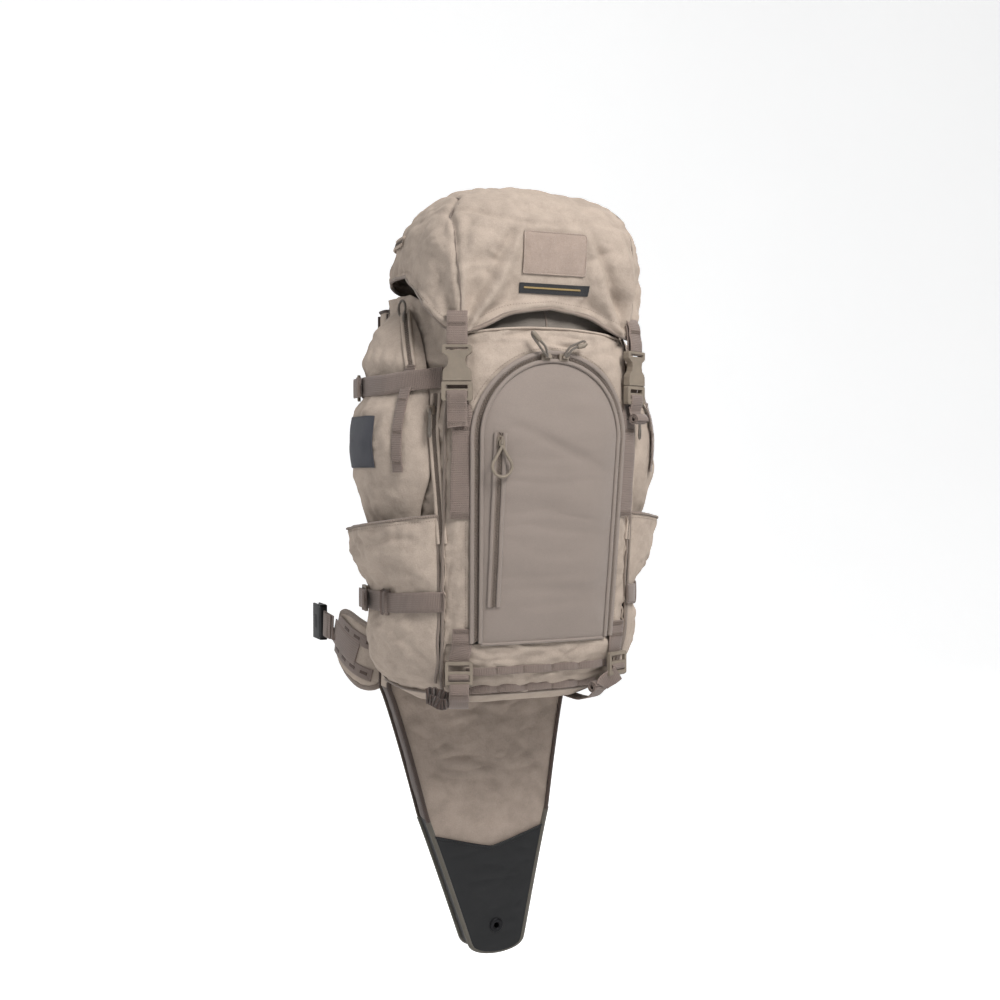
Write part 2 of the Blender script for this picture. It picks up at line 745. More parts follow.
def strap(name, path, normal, body, width=25.0, thick=1.6, finish="web", nodes=(), step=3.0):
    """A flat strap; normal is one vector or one for each point of the path."""
    path = np.asarray(path, float)
    fine = resample(path, step)
    along = arclength(path)
    normal = np.broadcast_to(np.asarray(normal, float), path.shape)
    normal = interp_rows(np.linspace(0, 1, len(fine)), along / along[-1], normal)
    trim(name, fine, blur(normal, 2.0, keep=False), flat(width, thick), finish, body,
         "webbing", *nodes)


def spiral(name, centre, axis, turns, inner, outer, body):
    """A rolled-up strap end about a level axis."""
    side = np.cross(axis, UP)
    angle = np.linspace(0, turns * 2 * math.pi, int(26 * turns))[:, None]
    radius = np.linspace(inner, outer, len(angle))[:, None]
    arm = np.cos(angle) * radius * UP + np.sin(angle) * radius * side
    trim(name, centre + arm, arm, flat(24.0, 1.5), "web", body, "webbing")


def border(grid):
    """The edge of a grid, once round."""
    return np.concatenate([grid[0], grid[1:, -1], grid[-1][::-1][1:], grid[1:-1, 0][::-1]])


def edit_mesh(obj, change):
    """Run change(bm) on a mesh."""
    bm = bmesh.new()
    bm.from_mesh(obj.data)
    change(bm)
    bm.to_mesh(obj.data)
    bm.free()


def recalc_normals(bm):
    bmesh.ops.recalc_face_normals(bm, faces=bm.faces)


# ------------------------------------------------------------------ laying paths on cloth
def bvh_of(objects):
    verts, faces, offset = [], [], 0
    for obj in objects:
        mesh = obj.data
        verts.append(read_vectors(mesh.vertices, "co"))
        faces += [[i + offset for i in p.vertices] for p in mesh.polygons]
        offset += len(mesh.vertices)
    return BVHTree.FromPolygons([tuple(v) for v in np.concatenate(verts)], faces)


def cast(tree, point, direction, reach, limit):
    """Signed distance in mm from a point to the cloth; the ray starts reach mm before it."""
    origin = (point - direction * reach) * MM
    hit = tree.ray_cast(Vector(origin), Vector(direction), limit)
    return np.nan if hit[0] is None else hit[3] / MM - reach


def running_min(values, half):
    padded = np.pad(values, half, mode="edge")
    return np.min([padded[k:k + len(values)] for k in range(2 * half + 1)], 0)


def drape(tree, points, lift, smooth=2.0, direction=REARWARD, reach=60.0, taut=True):
    """Lay a thin path on the cloth. Taut paths bridge its hollows."""
    direction = unit(direction)
    depth = np.nan_to_num([cast(tree, p, direction, reach, 0.2) for p in points])
    if taut:
        depth = 0.6 * running_min(depth, 3) + 0.4 * depth
    if smooth:
        depth = blur(depth, smooth, keep=False)
    return points + direction * (depth[:, None] - lift)


def lay(tree, points, direction, across, width, lift, smooth=2.5, reach=60.0, taut=2):
    """Lay a strap: several rays across its width, and the outermost hit wins."""
    direction = unit(np.broadcast_to(direction, points.shape))
    across = np.asarray(across, float)
    hits = [[cast(tree, p + across * width * f, d, reach, 0.16)
             for p, d in zip(points, direction)] for f in (-0.45, -0.2, 0.0, 0.2, 0.45)]
    depth = np.fmin.reduce(np.array(hits))
    found = ~np.isnan(depth)
    if found.sum() < 2:
        # too little cloth below: stay on the given path
        depth = np.zeros(len(points))
    else:
        depth = np.interp(np.arange(len(points)), np.where(found)[0], depth[found])
    depth = 0.75 * running_min(depth, taut) + 0.25 * depth
    return points + direction * (blur(depth, smooth, keep=False)[:, None] - lift)


# ------------------------------------------------------------------ the bag's own shape
# z, half width at the back, at the sides' widest and at the front corners,
# y of the front corners, y of the front's middle
BAG = np.array([
    (-6, 112, 114, 88, -158, -178), (0, 122, 124, 98, -168, -190),
    (12, 142, 145, 112, -188, -212), (30, 153, 157, 121, -205, -231),
    (80, 160, 166, 126, -222, -250), (340, 161, 167, 129, -240, -276),
    (427, 148, 151, 122, -240, -274), (482, 138, 139, 111, -232, -262),
    (560, 128, 129, 100, -222, -250)], float)
BACK_Y = -49.0
WIDEST_Y = -110
CENTRE = np.array([0, -140, 260.0])
BAG_Z = np.arange(-6, 561, 1.0)
BAG_SIZES = blur(interp_rows(BAG_Z, BAG[:, 0], BAG[:, 1:]), 7.0)
SIDE_COLUMNS, FRONT_COLUMNS = 46, 121


def bag_at(z):
    """Half widths (back, widest, front) and y (corner, front) at a height."""
    return [np.interp(np.asarray(z, float), BAG_Z, column) for column in BAG_SIZES.T]


def front_y(x, z):
    _, _, half_front, corner_y, middle_y = bag_at(z)
    return middle_y + (corner_y - middle_y) * np.minimum(1.35, np.abs(x) / half_front) ** 4.2


def on_front(x, z, stand=0.0):
    """Points on the bag's front, standing off towards -Y."""
    x, z = np.broadcast_arrays(x, z)
    return np.stack([x, front_y(x, z) - stand, z], -1)


def front_normals(points):
    reach = 1.5
    x, z = points[:, 0], points[:, 2]
    dx = (front_y(x + reach, z) - front_y(x - reach, z)) / (2 * reach)
    dz = (front_y(x, z + reach) - front_y(x, z - reach)) / (2 * reach)
    return unit(np.stack([dx, -np.ones(len(points)), dz], 1))


def side_x(y, z):
    half_back, half_wide, half_front, corner_y, _ = bag_at(z)
    y = np.asarray(y, float)
    rear = half_back + (half_wide - half_back) * (BACK_Y - y) / (BACK_Y - WIDEST_Y)
    t = np.clip((WIDEST_Y - y) / (WIDEST_Y - corner_y), 0, 1)
    fore = half_wide + (half_front - half_wide) * t ** 1.7
    return np.where(y > WIDEST_Y, rear, fore)


def side_normals(points, sign):
    """Outward level normals of a path that runs round the side."""
    tangent = np.gradient(points, axis=0)
    normals = unit(np.stack([-tangent[:, 1], tangent[:, 0], np.zeros(len(points))], 1))
    flip = np.where(normals[:, 0] * sign < 0, -1, 1)
    return blur(normals * flip[:, None], 2.0, keep=False)


def bag_rings(heights):
    """Plan rings from the left back corner round the front to the right back corner."""
    z = np.asarray(heights, float)[:, None]
    _, _, half_front, corner_y, _ = bag_at(z)
    y = BACK_Y + (corner_y - BACK_Y) * np.linspace(0, 1, SIDE_COLUMNS)
    left = np.stack([-side_x(y, z), y, np.broadcast_to(z, y.shape)], -1)
    fore = on_front(half_front * np.linspace(-1, 1, FRONT_COLUMNS), z)
    right = left[:, ::-1] * (-1, 1, 1)
    rings = np.concatenate([left[:, :-1], fore, right[:, 1:]], 1)
    smooth = blur(rings, 3.0, 1)
    smooth[..., 2] = rings[..., 2]
    return smooth


# Shell cloth that straps and seams are laid on, in the order it is made
SURFACES = []


def bag_panel(name, grid, folds, node, tuck=2.0, tuck_sides=True):
    """A panel of the bag: its folds, and its borders pulled in by tuck towards the seams."""
    row = np.arange(grid.shape[0])[:, None]
    col = np.arange(grid.shape[1])[None, :]
    to_edge = np.minimum(row, row[::-1])
    if tuck_sides:
        to_edge = np.minimum(to_edge, np.minimum(col, col[:, ::-1]))
    push = (1.6 * layered_noise(grid, (95, 95, 120), seed=1) + folds(grid)
            - tuck * np.exp(-to_edge / 2.5))
    obj = sheet(name, *inflate(grid, push, CENTRE), 2.2, "suede")
    SURFACES.append(put(obj, "pack", "shell_fabric", node))


# ---- sides
def side_grid(sign):
    along = np.linspace(0, 1, SIDE_COLUMNS)
    top = 484 + (521 - 484) * (1 - smooth_step(0.35, 1.0, along))
    rows = []
    for rise in np.linspace(0, 1, 150):
        z = 12 + (top - 12) * rise
        y = BACK_Y + (bag_at(z)[3] - 3 - BACK_Y) * along
        rows.append(np.stack([sign * blur(side_x(y, z), 2.5), y, z], -1))
    return np.array(rows)


def side_folds(grid):
    y, z = grid[..., 1], grid[..., 2]
    swell = np.sin(math.pi * np.clip((y + 240) / 185, 0, 1))
    return (4.0 * wrinkle(grid, (60, 44, 26), 3) * smooth_step(20, 60, z)
            + 1.9 * wrinkle(grid, (30, 26, 16), 9)
            + 1.2 * swell * smooth_step(30, 110, z) * (1 - smooth_step(440, 500, z)))


for side, sign in SIDES:
    bag_panel(f"bag_side_{side}_cloth", side_grid(sign), side_folds, "bag_side_panels")

# ---- front frame round the arched door
DOOR_HALF_TOP, DOOR_HALF_BOTTOM = 92.0, 85.0
DOOR_BOTTOM, ARCH_SPRING, DOOR_TOP = 81.0, 335.0, 427.0
FRAME_CORNER_Z = 462


def arch(offset, bottom=DOOR_BOTTOM, leg_points=70, arc_points=70):
    """(x, z) round the door's legs and arch, left to right, offset outwards."""
    top_half, bottom_half = DOOR_HALF_TOP + offset, DOOR_HALF_BOTTOM + offset
    leg_z = np.linspace(bottom, ARCH_SPRING, leg_points)
    leg_x = np.interp(leg_z, [bottom, ARCH_SPRING], [bottom_half, top_half])
    angle = np.linspace(0, math.pi, arc_points + 2)[1:-1]
    rise = DOOR_TOP - ARCH_SPRING + offset
    arc = np.stack([-top_half * np.cos(angle), ARCH_SPRING + rise * np.sin(angle)], 1)
    left = np.stack([-leg_x, leg_z], 1)
    return np.concatenate([left, arc, left[::-1] * (-1, 1)])


def top_drop(x):
    """How far the front's top edge falls away from its middle."""
    return 9 * np.minimum(np.abs(x) / 112.0, 1) ** 2


def frame_grid():
    inner = arch(12.5)
    # outer edge: up the left corner seam, across the top, down the right
    leg_z = np.linspace(DOOR_BOTTOM, FRAME_CORNER_Z, 60)
    left = np.stack([-bag_at(leg_z)[2], leg_z], 1)
    top_half = float(bag_at(FRAME_CORNER_Z)[2])
    top_x = np.linspace(-top_half, top_half, 50)[1:-1]
    top = np.stack([top_x, 470 - top_drop(top_x)], 1)
    edge = np.concatenate([left, top, left[::-1] * (-1, 1)])
    # pair the edges: same length up the legs, spread evenly over the arch
    edge_length, inner_length = arclength(edge), arclength(inner)
    leg = ARCH_SPRING - DOOR_BOTTOM
    knots = [np.array([0, leg, total - leg, total])
             for total in (inner_length[-1], edge_length[-1])]
    outer = interp_rows(np.interp(inner_length, *knots), edge_length, edge)
    t = np.linspace(0, 1, 44)[:, None, None]
    plane = inner * (1 - t) + outer * t
    return on_front(plane[..., 0], plane[..., 1])


def frame_folds(grid):
    x, z = grid[..., 0], grid[..., 2]
    push = 2.6 * wrinkle(grid, (20, 30, 62), 14) * smooth_step(96, 112, np.abs(x))
    push += 1.7 * wrinkle(grid, (34, 30, 22), 15)
    push += 2.4 * smooth_step(405, 450, z) * wrinkle(grid, (44, 40, 17), 16)
    # folds that radiate from the two upper corners
    for sign in (-1, 1):
        radius = np.hypot(x - sign * 114, z - 456)
        angle = np.arctan2(z - 456, x - sign * 114)
        push += 2.2 * np.exp(-radius / 38) * np.cos(angle * 6 + 0.7 * sign) * (radius > 1)
    return push


bag_panel("bag_front_frame_cloth", frame_grid(), frame_folds, "bag_front_panel", tuck=1.6,
          tuck_sides=False)


# ---- lower front
def lower_folds(grid):
    z = grid[..., 2]
    return (2.5 * wrinkle(grid, (36, 30, 15), 21)
            + 1.4 * np.sin(z / 7.5) * gauss(z - 60, 14)
            * (0.6 + 0.4 * noise(grid, (40, 40, 40), 22)))


lower_rings = bag_rings(np.linspace(10, DOOR_BOTTOM - 1, 40))
bag_panel("bag_front_lower_cloth", lower_rings[:, SIDE_COLUMNS - 1:SIDE_COLUMNS - 1 + FRONT_COLUMNS],
          lower_folds, "bag_front_panel")


# ---- base: a bottom that sags a little, then rings up to the seam
def bag_base():
    rings = bag_rings([-2.0, 2, 6, 10, 13])
    middle = np.array([0, -120, -2.0])
    rows = []
    for share in (0.0, 0.25, 0.5, 0.72, 0.86, 0.94, 0.98):
        ring = middle + (rings[0] - middle) * max(share, 0.004)
        ring[:, 2] = -2.0 - 3.0 * (1 - share ** 4)
        rows.append(ring)
    grid = np.array(rows + list(rings))
    grid[:, :, 1] = np.minimum(grid[:, :, 1], BACK_Y)
    push = 0.96 * wrinkle(grid, (60, 60, 30), 25)
    obj = sheet("bag_base_cloth", *inflate(grid, push, (0, -130, 60)), 2.4, "suede")
    SURFACES.append(put(obj, "pack", "shell_fabric", "bag_base_panel"))


def bag_back():
    x, z = np.meshgrid(np.linspace(-1, 1, 40), np.linspace(4, 520, 60))
    grid = np.stack([x * (bag_at(z)[0] - 1), np.full_like(x, -46.6), z], -1)
    grid[..., 1] += 0.8 * wrinkle(grid, (40, 40, 40), 40)
    obj = sheet("bag_back_cloth", grid, np.broadcast_to(REARWARD, grid.shape), 2.0, "lining")
    put(obj, "pack", "lining_fabric", "bag_back_panel")


bag_base()
bag_back()
BAG_TREE = bvh_of(SURFACES)
FRONT_TREE = bvh_of(SURFACES[:4])


# ------------------------------------------------------------------ the arched door
def door_folds(grid, to_edge):
    x, z = grid[..., 0], grid[..., 2]
    waves = np.sin((z + 0.12 * x) / 13.0 + 1.5 * noise(grid, (90, 90, 60), 41))
    folds = 1.3 * waves * gauss(z - 210, 75) * (0.35 + 0.65 * smooth_step(-95, 40, x))
    folds += 0.88 * wrinkle(grid, (120, 60, 26), 43)
    # a diagonal crease over the right half, with a roll above it
    crease = z - (352 - 0.42 * (x + 60))
    folds += -1.7 * gauss(crease, 5.0) * gauss(x - 10, 48)
    folds += 1.0 * gauss(crease - 11, 8) * gauss(x - 10, 50)
    # a nearly level crease low on the door
    folds += -1.2 * gauss(z - (128 + 0.10 * x), 4.5) * gauss(x - 25, 50)
    return folds * (1 - to_edge ** 6)


def door():
    bottom_z = DOOR_BOTTOM + 1
    bottom_x = np.linspace(DOOR_HALF_BOTTOM, -DOOR_HALF_BOTTOM, 44)[1:-1]
    bottom = np.stack([bottom_x, np.full(42, bottom_z)], 1)
    edge = np.concatenate([arch(0.0, bottom_z, leg_points=60, arc_points=80), bottom])
    edge = np.concatenate([edge, edge[:1]])
    length = arclength(edge)
    edge = interp_rows(np.linspace(0, length[-1], 220, endpoint=False), length, edge)
    middle = np.array([0.0, 250.0])
    to_edge = np.concatenate([np.linspace(0.004, 0.9, 52), np.linspace(0.915, 1.0, 12)])
    plane = middle + (edge - middle) * to_edge[:, None, None]
    grid = on_front(plane[..., 0], plane[..., 1])
    to_edge = to_edge[:, None]
    push = 5.5 * (1 - to_edge ** 5) + 1.6 + door_folds(grid, to_edge)
    grid = grid + FORWARD * push[..., None]
    normals = outward(grid, (0, -150, 250), wrap=True)
    obj = sheet("door_stretch_cloth", grid, normals, 2.2, "stretch", wrap=True)
    return put(obj, "front_door", "stretch_fabric", "door_panel")


DOOR_TREE = bvh_of([door()])


def piping(name, line, lift, profile, finish, body, slot, seed):
    """A slightly uneven cord along an (x, z) line on the front."""
    path = resample(on_front(line[:, 0], line[:, 1]), 3.0) + FORWARD * lift
    path[:, 1] -= 0.35 * noise(path, (24, 24, 24), seed)
    trim(name, path, FORWARD, round_bar(*profile), finish, body, slot)


# welts on the frame side and the door side of the zip
WELT_LINE_Z = DOOR_BOTTOM + 2
piping("arch_welt_outer", arch(11.4, WELT_LINE_Z), 2.6, (2.9, 1.9), "stretch",
       "pack", "shell_fabric", seed=3)
piping("arch_welt_mid", arch(8.6, WELT_LINE_Z), 1.0, (1.9, 1.3), "zip",
       "pack", "zipper_tape", seed=4)
piping("door_welt_inner", arch(1.4, WELT_LINE_Z), 3.4, (2.7, 1.9), "stretch",
       "front_door", "stretch_fabric", seed=5)
door_foot = np.stack([np.linspace(-DOOR_HALF_BOTTOM, DOOR_HALF_BOTTOM, 20),
                      np.full(20, DOOR_BOTTOM + 0.5)], 1)
piping("door_bottom_seam", door_foot, 2.2, (1.9, 1.5), "stretch",
       "front_door", "stretch_fabric", seed=6)

arch_zip = arch(6.2, DOOR_BOTTOM + 4)[::4].T
trim("arch_zip_tape", resample(on_front(*arch_zip, stand=0.6), 4.0), FORWARD, flat(11.5, 1.0),
     "zip", "pack", "zipper_tape", "arch_zipper_track")
coil("arch_zip_coil", on_front(*arch_zip, stand=1.0), FORWARD, "pack", width=4.0, pitch=2.0)

# upright pocket zip on the door's left, between two welts
POCKET_ZIP_X, POCKET_WELT_GAP = -73.0, 5.2


def pocket_zip_line(offset, lift):
    line = on_front(POCKET_ZIP_X + offset, np.linspace(128, 340, 40))
    return drape(DOOR_TREE, resample(line, 3), lift, smooth=3)


for k, offset in enumerate((-POCKET_WELT_GAP, POCKET_WELT_GAP)):
    trim(f"pocket_welt_{k}", pocket_zip_line(offset, 0.9), FORWARD, round_bar(2.9, 1.9),
         "stretch", "front_door", "stretch_fabric")
pocket_line = pocket_zip_line(0, 0.5)
trim("pocket_zip_tape", resample(pocket_line, 4.0), FORWARD, flat(8.5, 0.9), "zip",
     "front_door", "zipper_tape", "pocket_zipper_track")
coil("pocket_zip_coil", pocket_line + FORWARD * 0.5, FORWARD, "front_door", width=3.6)

# ------------------------------------------------------------------ side and bottle pockets
UPPER_CINCH_Z, LOWER_CINCH_Z = 400.0, 129.0     # heights of the compression straps


def smooth_curve(low, high, sigma, points):
    """A smoothed curve through (z, value) points, as a function of z."""
    z = np.arange(low, high + 1.0)
    values = blur(np.interp(z, *np.array(points, float).T), sigma)
    return lambda height: np.interp(height, z, values)


# how far each pocket stands out at a height, and the y of its front and rear edges
TALL_DEPTH = smooth_curve(205, 500, 5, [
    (205, 1), (222, 18), (250, 30), (290, 40), (330, 44), (366, 42), (384, 35), (416, 35),
    (434, 40), (455, 36), (475, 28), (490, 14), (500, 1)])
TALL_FRONT = smooth_curve(205, 500, 9, [
    (205, -198), (250, -202), (290, -220), (382, -214), (430, -200), (470, -172), (500, -138)])
TALL_REAR = smooth_curve(205, 500, 9, [(205, -92), (250, -88), (290, -70)])
BOTTLE_DEPTH = smooth_curve(26, 245, 5, [
    (26, .6), (38, 12), (60, 19), (92, 18), (112, 13), (146, 13), (165, 30), (190, 41),
    (245, 47)])
BOTTLE_FRONT = smooth_curve(26, 245, 8, [(26, -196), (60, -214), (112, -222), (240, -226)])
BOTTLE_REAR_Y = -64.0
BOTTLE_TOP, BOTTLE_TOP_FALL = 240, 27       # top edge at the front, and its drop to the rear


def pocket_grid(heights, columns, depth, front, rear, stand):
    """Left pocket: points, share of the way to the rear, and bulge."""
    share = np.linspace(0, 1, columns)[None, :]
    z = heights[:, None] * np.ones_like(share)
    y = front(z) + (rear(z) - front(z)) * share
    bulge = depth(z) * np.sin(math.pi * share) ** 0.62
    slope = (side_x(y + 1, z) - side_x(y - 1, z)) / 2
    out_x = 1 / np.hypot(1, slope)
    x = side_x(y, z) + out_x * (bulge + stand)
    y = y - slope * out_x * (bulge + stand)
    return np.stack([-x, y, z], -1), share, bulge


def roll_of_cloth(grid, at, width, size, mean, swing, pitch, phase=0.0):
    """A level roll at a height, that swells and thins along y."""
    y, z = grid[..., 1], grid[..., 2]
    return size * gauss(z - at, width) * (mean + swing * np.sin(y / pitch + phase))


def pucker(grid, at, size, pitch, seed):
    """Gathers above and below a compression strap."""
    y, z = grid[..., 1], grid[..., 2]
    waves = np.sin(y / pitch + 2.0 * noise(grid, (40, 40, 40), seed))
    return size * waves * np.exp(-np.abs(z - at) / 20.0) * (1 - gauss(z - at, 9))


def pocket_cloth(name, grid, push, sign, node):
    grid, _ = inflate(grid, push, CENTRE)
    if sign > 0:
        grid = grid * (-1, 1, 1)
    normals = outward(grid, CENTRE)
    obj = sheet(name, grid, normals, 2.0, "suede")
    SURFACES.append(put(obj, "pack", "shell_fabric", node))
    return grid, normals


def tall_pocket(side, sign, seed):
    heights = np.linspace(205, 500, 112)
    grid, share, bulge = pocket_grid(heights, 64, TALL_DEPTH, TALL_FRONT, TALL_REAR, 4.2)
    cinch = UPPER_CINCH_Z
    folds = 2.6 * wrinkle(grid, (60, 34, 52), seed) + 1.3 * wrinkle(grid, (26, 22, 20), seed + 2)
    folds += -3.2 * gauss(grid[..., 2] - cinch, 14)
    folds += roll_of_cloth(grid, cinch - 28, width=9, size=2.6, mean=0.6, swing=0.5, pitch=9.0)
    folds += roll_of_cloth(grid, cinch + 29, width=9, size=2.4, mean=0.6, swing=0.5, pitch=8.0,
                           phase=1)
    folds += pucker(grid, cinch, size=1.9, pitch=5.2, seed=seed + 4)
    folds *= np.sin(math.pi * share) ** 0.5 * np.clip(bulge / 30, 0, 1)
    return pocket_cloth(f"side_pocket_{side}_cloth", grid, folds, sign, "side_pockets")


def bottle_pocket(side, sign, seed):
    heights = np.linspace(30, BOTTLE_TOP, 96)
    grid, share, bulge = pocket_grid(heights, 70, BOTTLE_DEPTH, BOTTLE_FRONT,
                                     lambda z: BOTTLE_REAR_Y, 4.0)
    grid[..., 2] -= (np.maximum(grid[..., 2], 165) - 165) / 75 * BOTTLE_TOP_FALL * share
    y, z = grid[..., 1], grid[..., 2]
    cinch = LOWER_CINCH_Z
    folds = 3.4 * wrinkle(grid, (60, 40, 34), seed) + 1.7 * wrinkle(grid, (26, 22, 17), seed + 2)
    folds += -2.4 * gauss(z - cinch, 13)
    folds += roll_of_cloth(grid, cinch + 26, width=9, size=2.2, mean=0.5, swing=0.6, pitch=8.0)
    folds += roll_of_cloth(grid, cinch - 25, width=8, size=2.0, mean=0.5, swing=0.6, pitch=9.0,
                           phase=2)
    folds += pucker(grid, cinch, size=2.3, pitch=5.0, seed=seed + 4)
    # gathers under the elastic top
    top = BOTTLE_TOP - BOTTLE_TOP_FALL * share
    folds += 1.2 * np.sin(y / 4.6 + noise(grid, (20, 20, 20), 5)) * np.exp(-(top - z) / 14.0)
    folds *= np.sin(math.pi * share) ** 0.5 * np.clip(bulge / 16, 0, 1)
    return pocket_cloth(f"bottle_pocket_{side}_cloth", grid, folds, sign, "bottle_pockets")


def pocket_seam(name, grid, normals, column, facing, profile):
    path = resample(grid[:, column] + normals[:, column] * 0.2, 4.0)
    trim(name, path, facing, round_bar(*profile), "bindtan", "pack", "webbing")


TALL_POCKETS = {}
for (side, sign), seed in zip(SIDES, (50, 70)):
    tall = TALL_POCKETS[side] = tall_pocket(side, sign, seed)
    bottle = bottle_pocket(side, sign, seed + 10)
    grid, normals = bottle
    hem = resample(grid[-1] + normals[-1] * -0.6 - UP, 3.0)
    trim(f"bottle_hem_{side}", hem, UP, flat(5.4, 3.0, crown=0.5), "elastic", "pack", "webbing")
    stitches(f"bottle_hem_stitch_{side}", grid[-4] + normals[-4] * 0.3, normals[-4], "pack")
    for name, pocket in (("side_pocket", tall), ("bottle_pocket", bottle)):
        pocket_seam(f"{name}_rear_seam_{side}", *pocket, -1, (sign, 0, 0), (2.2, 1.8))
    pocket_seam(f"bottle_front_seam_{side}", *bottle, 0, (sign * 0.6, -0.7, 0), (1.9, 1.6))

SIDE_TREE = bvh_of(SURFACES)


# ---- side zips: up the corner, then over the front edge of the tall pocket
def side_zips(side, sign):
    grid, normals = TALL_POCKETS[side]
    column = 5
    rows = (grid[:, 0, 2] > 398) & (grid[:, 0, 2] < 494)
    upper_normals = normals[rows, column]
    upper = grid[rows, column] + upper_normals * 1.2
    z = np.linspace(205, 388, 30)
    y = np.interp(z, [195, 382, 400], [-229.5, -222, -220])
    out = np.array([sign * 0.62, -0.78, 0])
    lower = np.stack([sign * side_x(y, z), y, z], 1)
    lower = lay(SIDE_TREE, lower, -out, (0.5, 0.5 * sign, 0), 8, 1.0, smooth=2.0, reach=30)
    for part, path, facing in (("upper", upper, upper_normals),
                               ("lower", lower, np.tile(out, (len(lower), 1)))):
        path = resample(path, 3.0)
        facing = blur(spread(facing, len(path)), 2, keep=False)
        zip_run(f"side_zip_{part}_{{}}_{side}", path, facing, "pack", flat(11, 0.9),
                tape_lift=0, gap=4.6, welt=round_bar(2.3, 1.7), coil_lift=0.4,
                nodes=["side_zipper_tracks"], pitch=2.0, width=3.4)


def corner_seam(side, sign):
    z = np.linspace(4, 470, 90)
    _, _, half_front, corner_y, _ = bag_at(z)
    path = np.stack([sign * half_front, corner_y, z], 1)
    path = lay(BAG_TREE, path, (-sign * 0.6, 0.8, 0), (0.6, 0.5, 0), 3, 0.9, smooth=2.0,
               reach=25)
    trim(f"corner_seam_{side}", resample(path, 3.0), (sign * 0.6, -0.8, 0),
         round_bar(1.9, 1.7), "bindtan", "pack", "webbing")


def base_seam():
    ring = resample(bag_rings([12.5])[0][::3], 4.0)
    out = unit(face_away(ring, np.cross(np.gradient(ring, axis=0), UP), (0, -130, 12)))
    trim("base_seam", ring + out * 0.6, out, round_bar(1.8, 1.7), "bindtan", "pack", "webbing")


def front_top_hem():
    x = np.linspace(-111, 111, 60)
    path = resample(drape(BAG_TREE, on_front(x, 469 - top_drop(x)), 0.8), 3.0)
    trim("front_top_hem", path, front_normals(path), round_bar(1.6, 1.8), "suede", "pack",
         "shell_fabric")


def arch_stitching():
    line = arch(17.5, DOOR_BOTTOM + 3)[::2].T
    path = drape(BAG_TREE, on_front(*line), 0.1, smooth=1.5)
    stitches("arch_stitch_0", path, front_normals(path), "pack", slot="shell_fabric")


for side, sign in SIDES:
    side_zips(side, sign)
for side, sign in SIDES:
    corner_seam(side, sign)
base_seam()
front_top_hem()
arch_stitching()

# ------------------------------------------------------------------ collar and its cord
# z, half width, front y, rear y
COLLAR = [(448, 119, -255, -60), (462, 119, -256, -60), (478, 119, -253, -62),
          (492, 118, -248, -66), (510, 115, -245, -69), (526, 112, -242, -72),
          (534, 111, -240.4, -73), (540, 111, -240, -73)]
COLLAR_ANGLES = turn(220)


def collar():
    centre = (0, -155, 500)
    rings = np.array([oval(half, front, rear, 3, z, COLLAR_ANGLES)
                      for z, half, front, rear in COLLAR])
    grid = spread(rings, 40)
    ring = grid[20]
    around = np.cumsum(np.linalg.norm(np.diff(ring, axis=0, append=ring[:1]), axis=1))
    gather = smooth_step(500, 532, grid[..., 2])
    pleats = np.sin(around[None] / 3.6 + 2 * noise(grid, (30, 30, 30), 81))
    push = 1.6 * pleats * gather + 1.2 * wrinkle(grid, (60, 60, 26), 82) * (1 - gather)
    push *= 0.4 + 0.6 * smooth_step(470, 490, grid[..., 2])
    middle = int(np.argmin(np.abs(grid[10, :, 0]) + (grid[10, :, 1] > -150) * 999))
    cloth, normals = inflate(grid, push, centre, wrap=True)
    obj = sheet("collar_cloth", cloth, normals, 1.0, "nylon", wrap=True)
    put(obj, "pack", "lining_fabric", "bag_collar")
    seam = resample(cloth[2:26, middle] + normals[2:26, middle] * 0.5, 3)
    trim("collar_seam", seam, FORWARD, round_bar(1.2, 0.8), "bindtan", "pack", "lining_fabric")
    cord = oval(115.8, -246, -67, 3, 532.0, COLLAR_ANGLES)
    trim("collar_cord", resample(cord[::5], 4, closed=True), UP, round_bar(1.5, 1.5, 8), "cord",
         "pack", "cord", "collar_drawcord", closed=True)


collar()

# ------------------------------------------------------------------ lid
LID_CENTRE = np.array([0, -150, 560.0])
# degrees from the front's middle, height of the lid's lower edge there
LID_EDGE = np.array([(0, 494), (20, 487), (36, 462), (46, 462), (60, 500), (85, 538),
                     (110, 540), (140, 528), (180, 524)], float)
LID_DEGREES = np.arange(0, 181.0)
LID_EDGE_Z = blur(np.interp(LID_DEGREES, *LID_EDGE.T), 2.4)
# columns crowd towards the front and its corners
LID_ANGLES = np.linspace(-math.pi, math.pi, 330, endpoint=False)
LID_ANGLES = LID_ANGLES - 0.18 * np.sin(LID_ANGLES)


def signed_angle(angles):
    return (angles + math.pi) % (2 * math.pi) - math.pi


edge_z = np.interp(np.abs(np.degrees(signed_angle(LID_ANGLES))), LID_DEGREES, LID_EDGE_Z)
# position up the lid, half width, front y, rear y, squareness, height
LID_RINGS = [
    (0, 150, -264, -42, 4.0, edge_z), (0.55, 150.5, -270, -41, 4.0, 0.45 * edge_z + 0.55 * 546),
    (1.0, 151, -277, -40, 3.8, 560.0), (1.75, 143, -277, -46, 3.4, 594.0),
    (2.6, 122, -252, -66, 3.0, 628.0), (3.4, 88, -212, -96, 2.6, 648.0),
    (4.2, 46, -178, -124, 2.2, 655.0), (5.3, 0.6, -151, -149, 2.0, 657.0)]
# rows of the lid, closer together below the crown
LID_ROWS = np.concatenate([np.linspace(0, 2.6, 84)[:-1], np.linspace(2.6, 5.3, 52)])


def lid_seam_x(z):
    """Distance of the corner seams from the middle."""
    return 115 + 7 * smooth_step(470, 560, z) - 22 * smooth_step(600, 640, z)


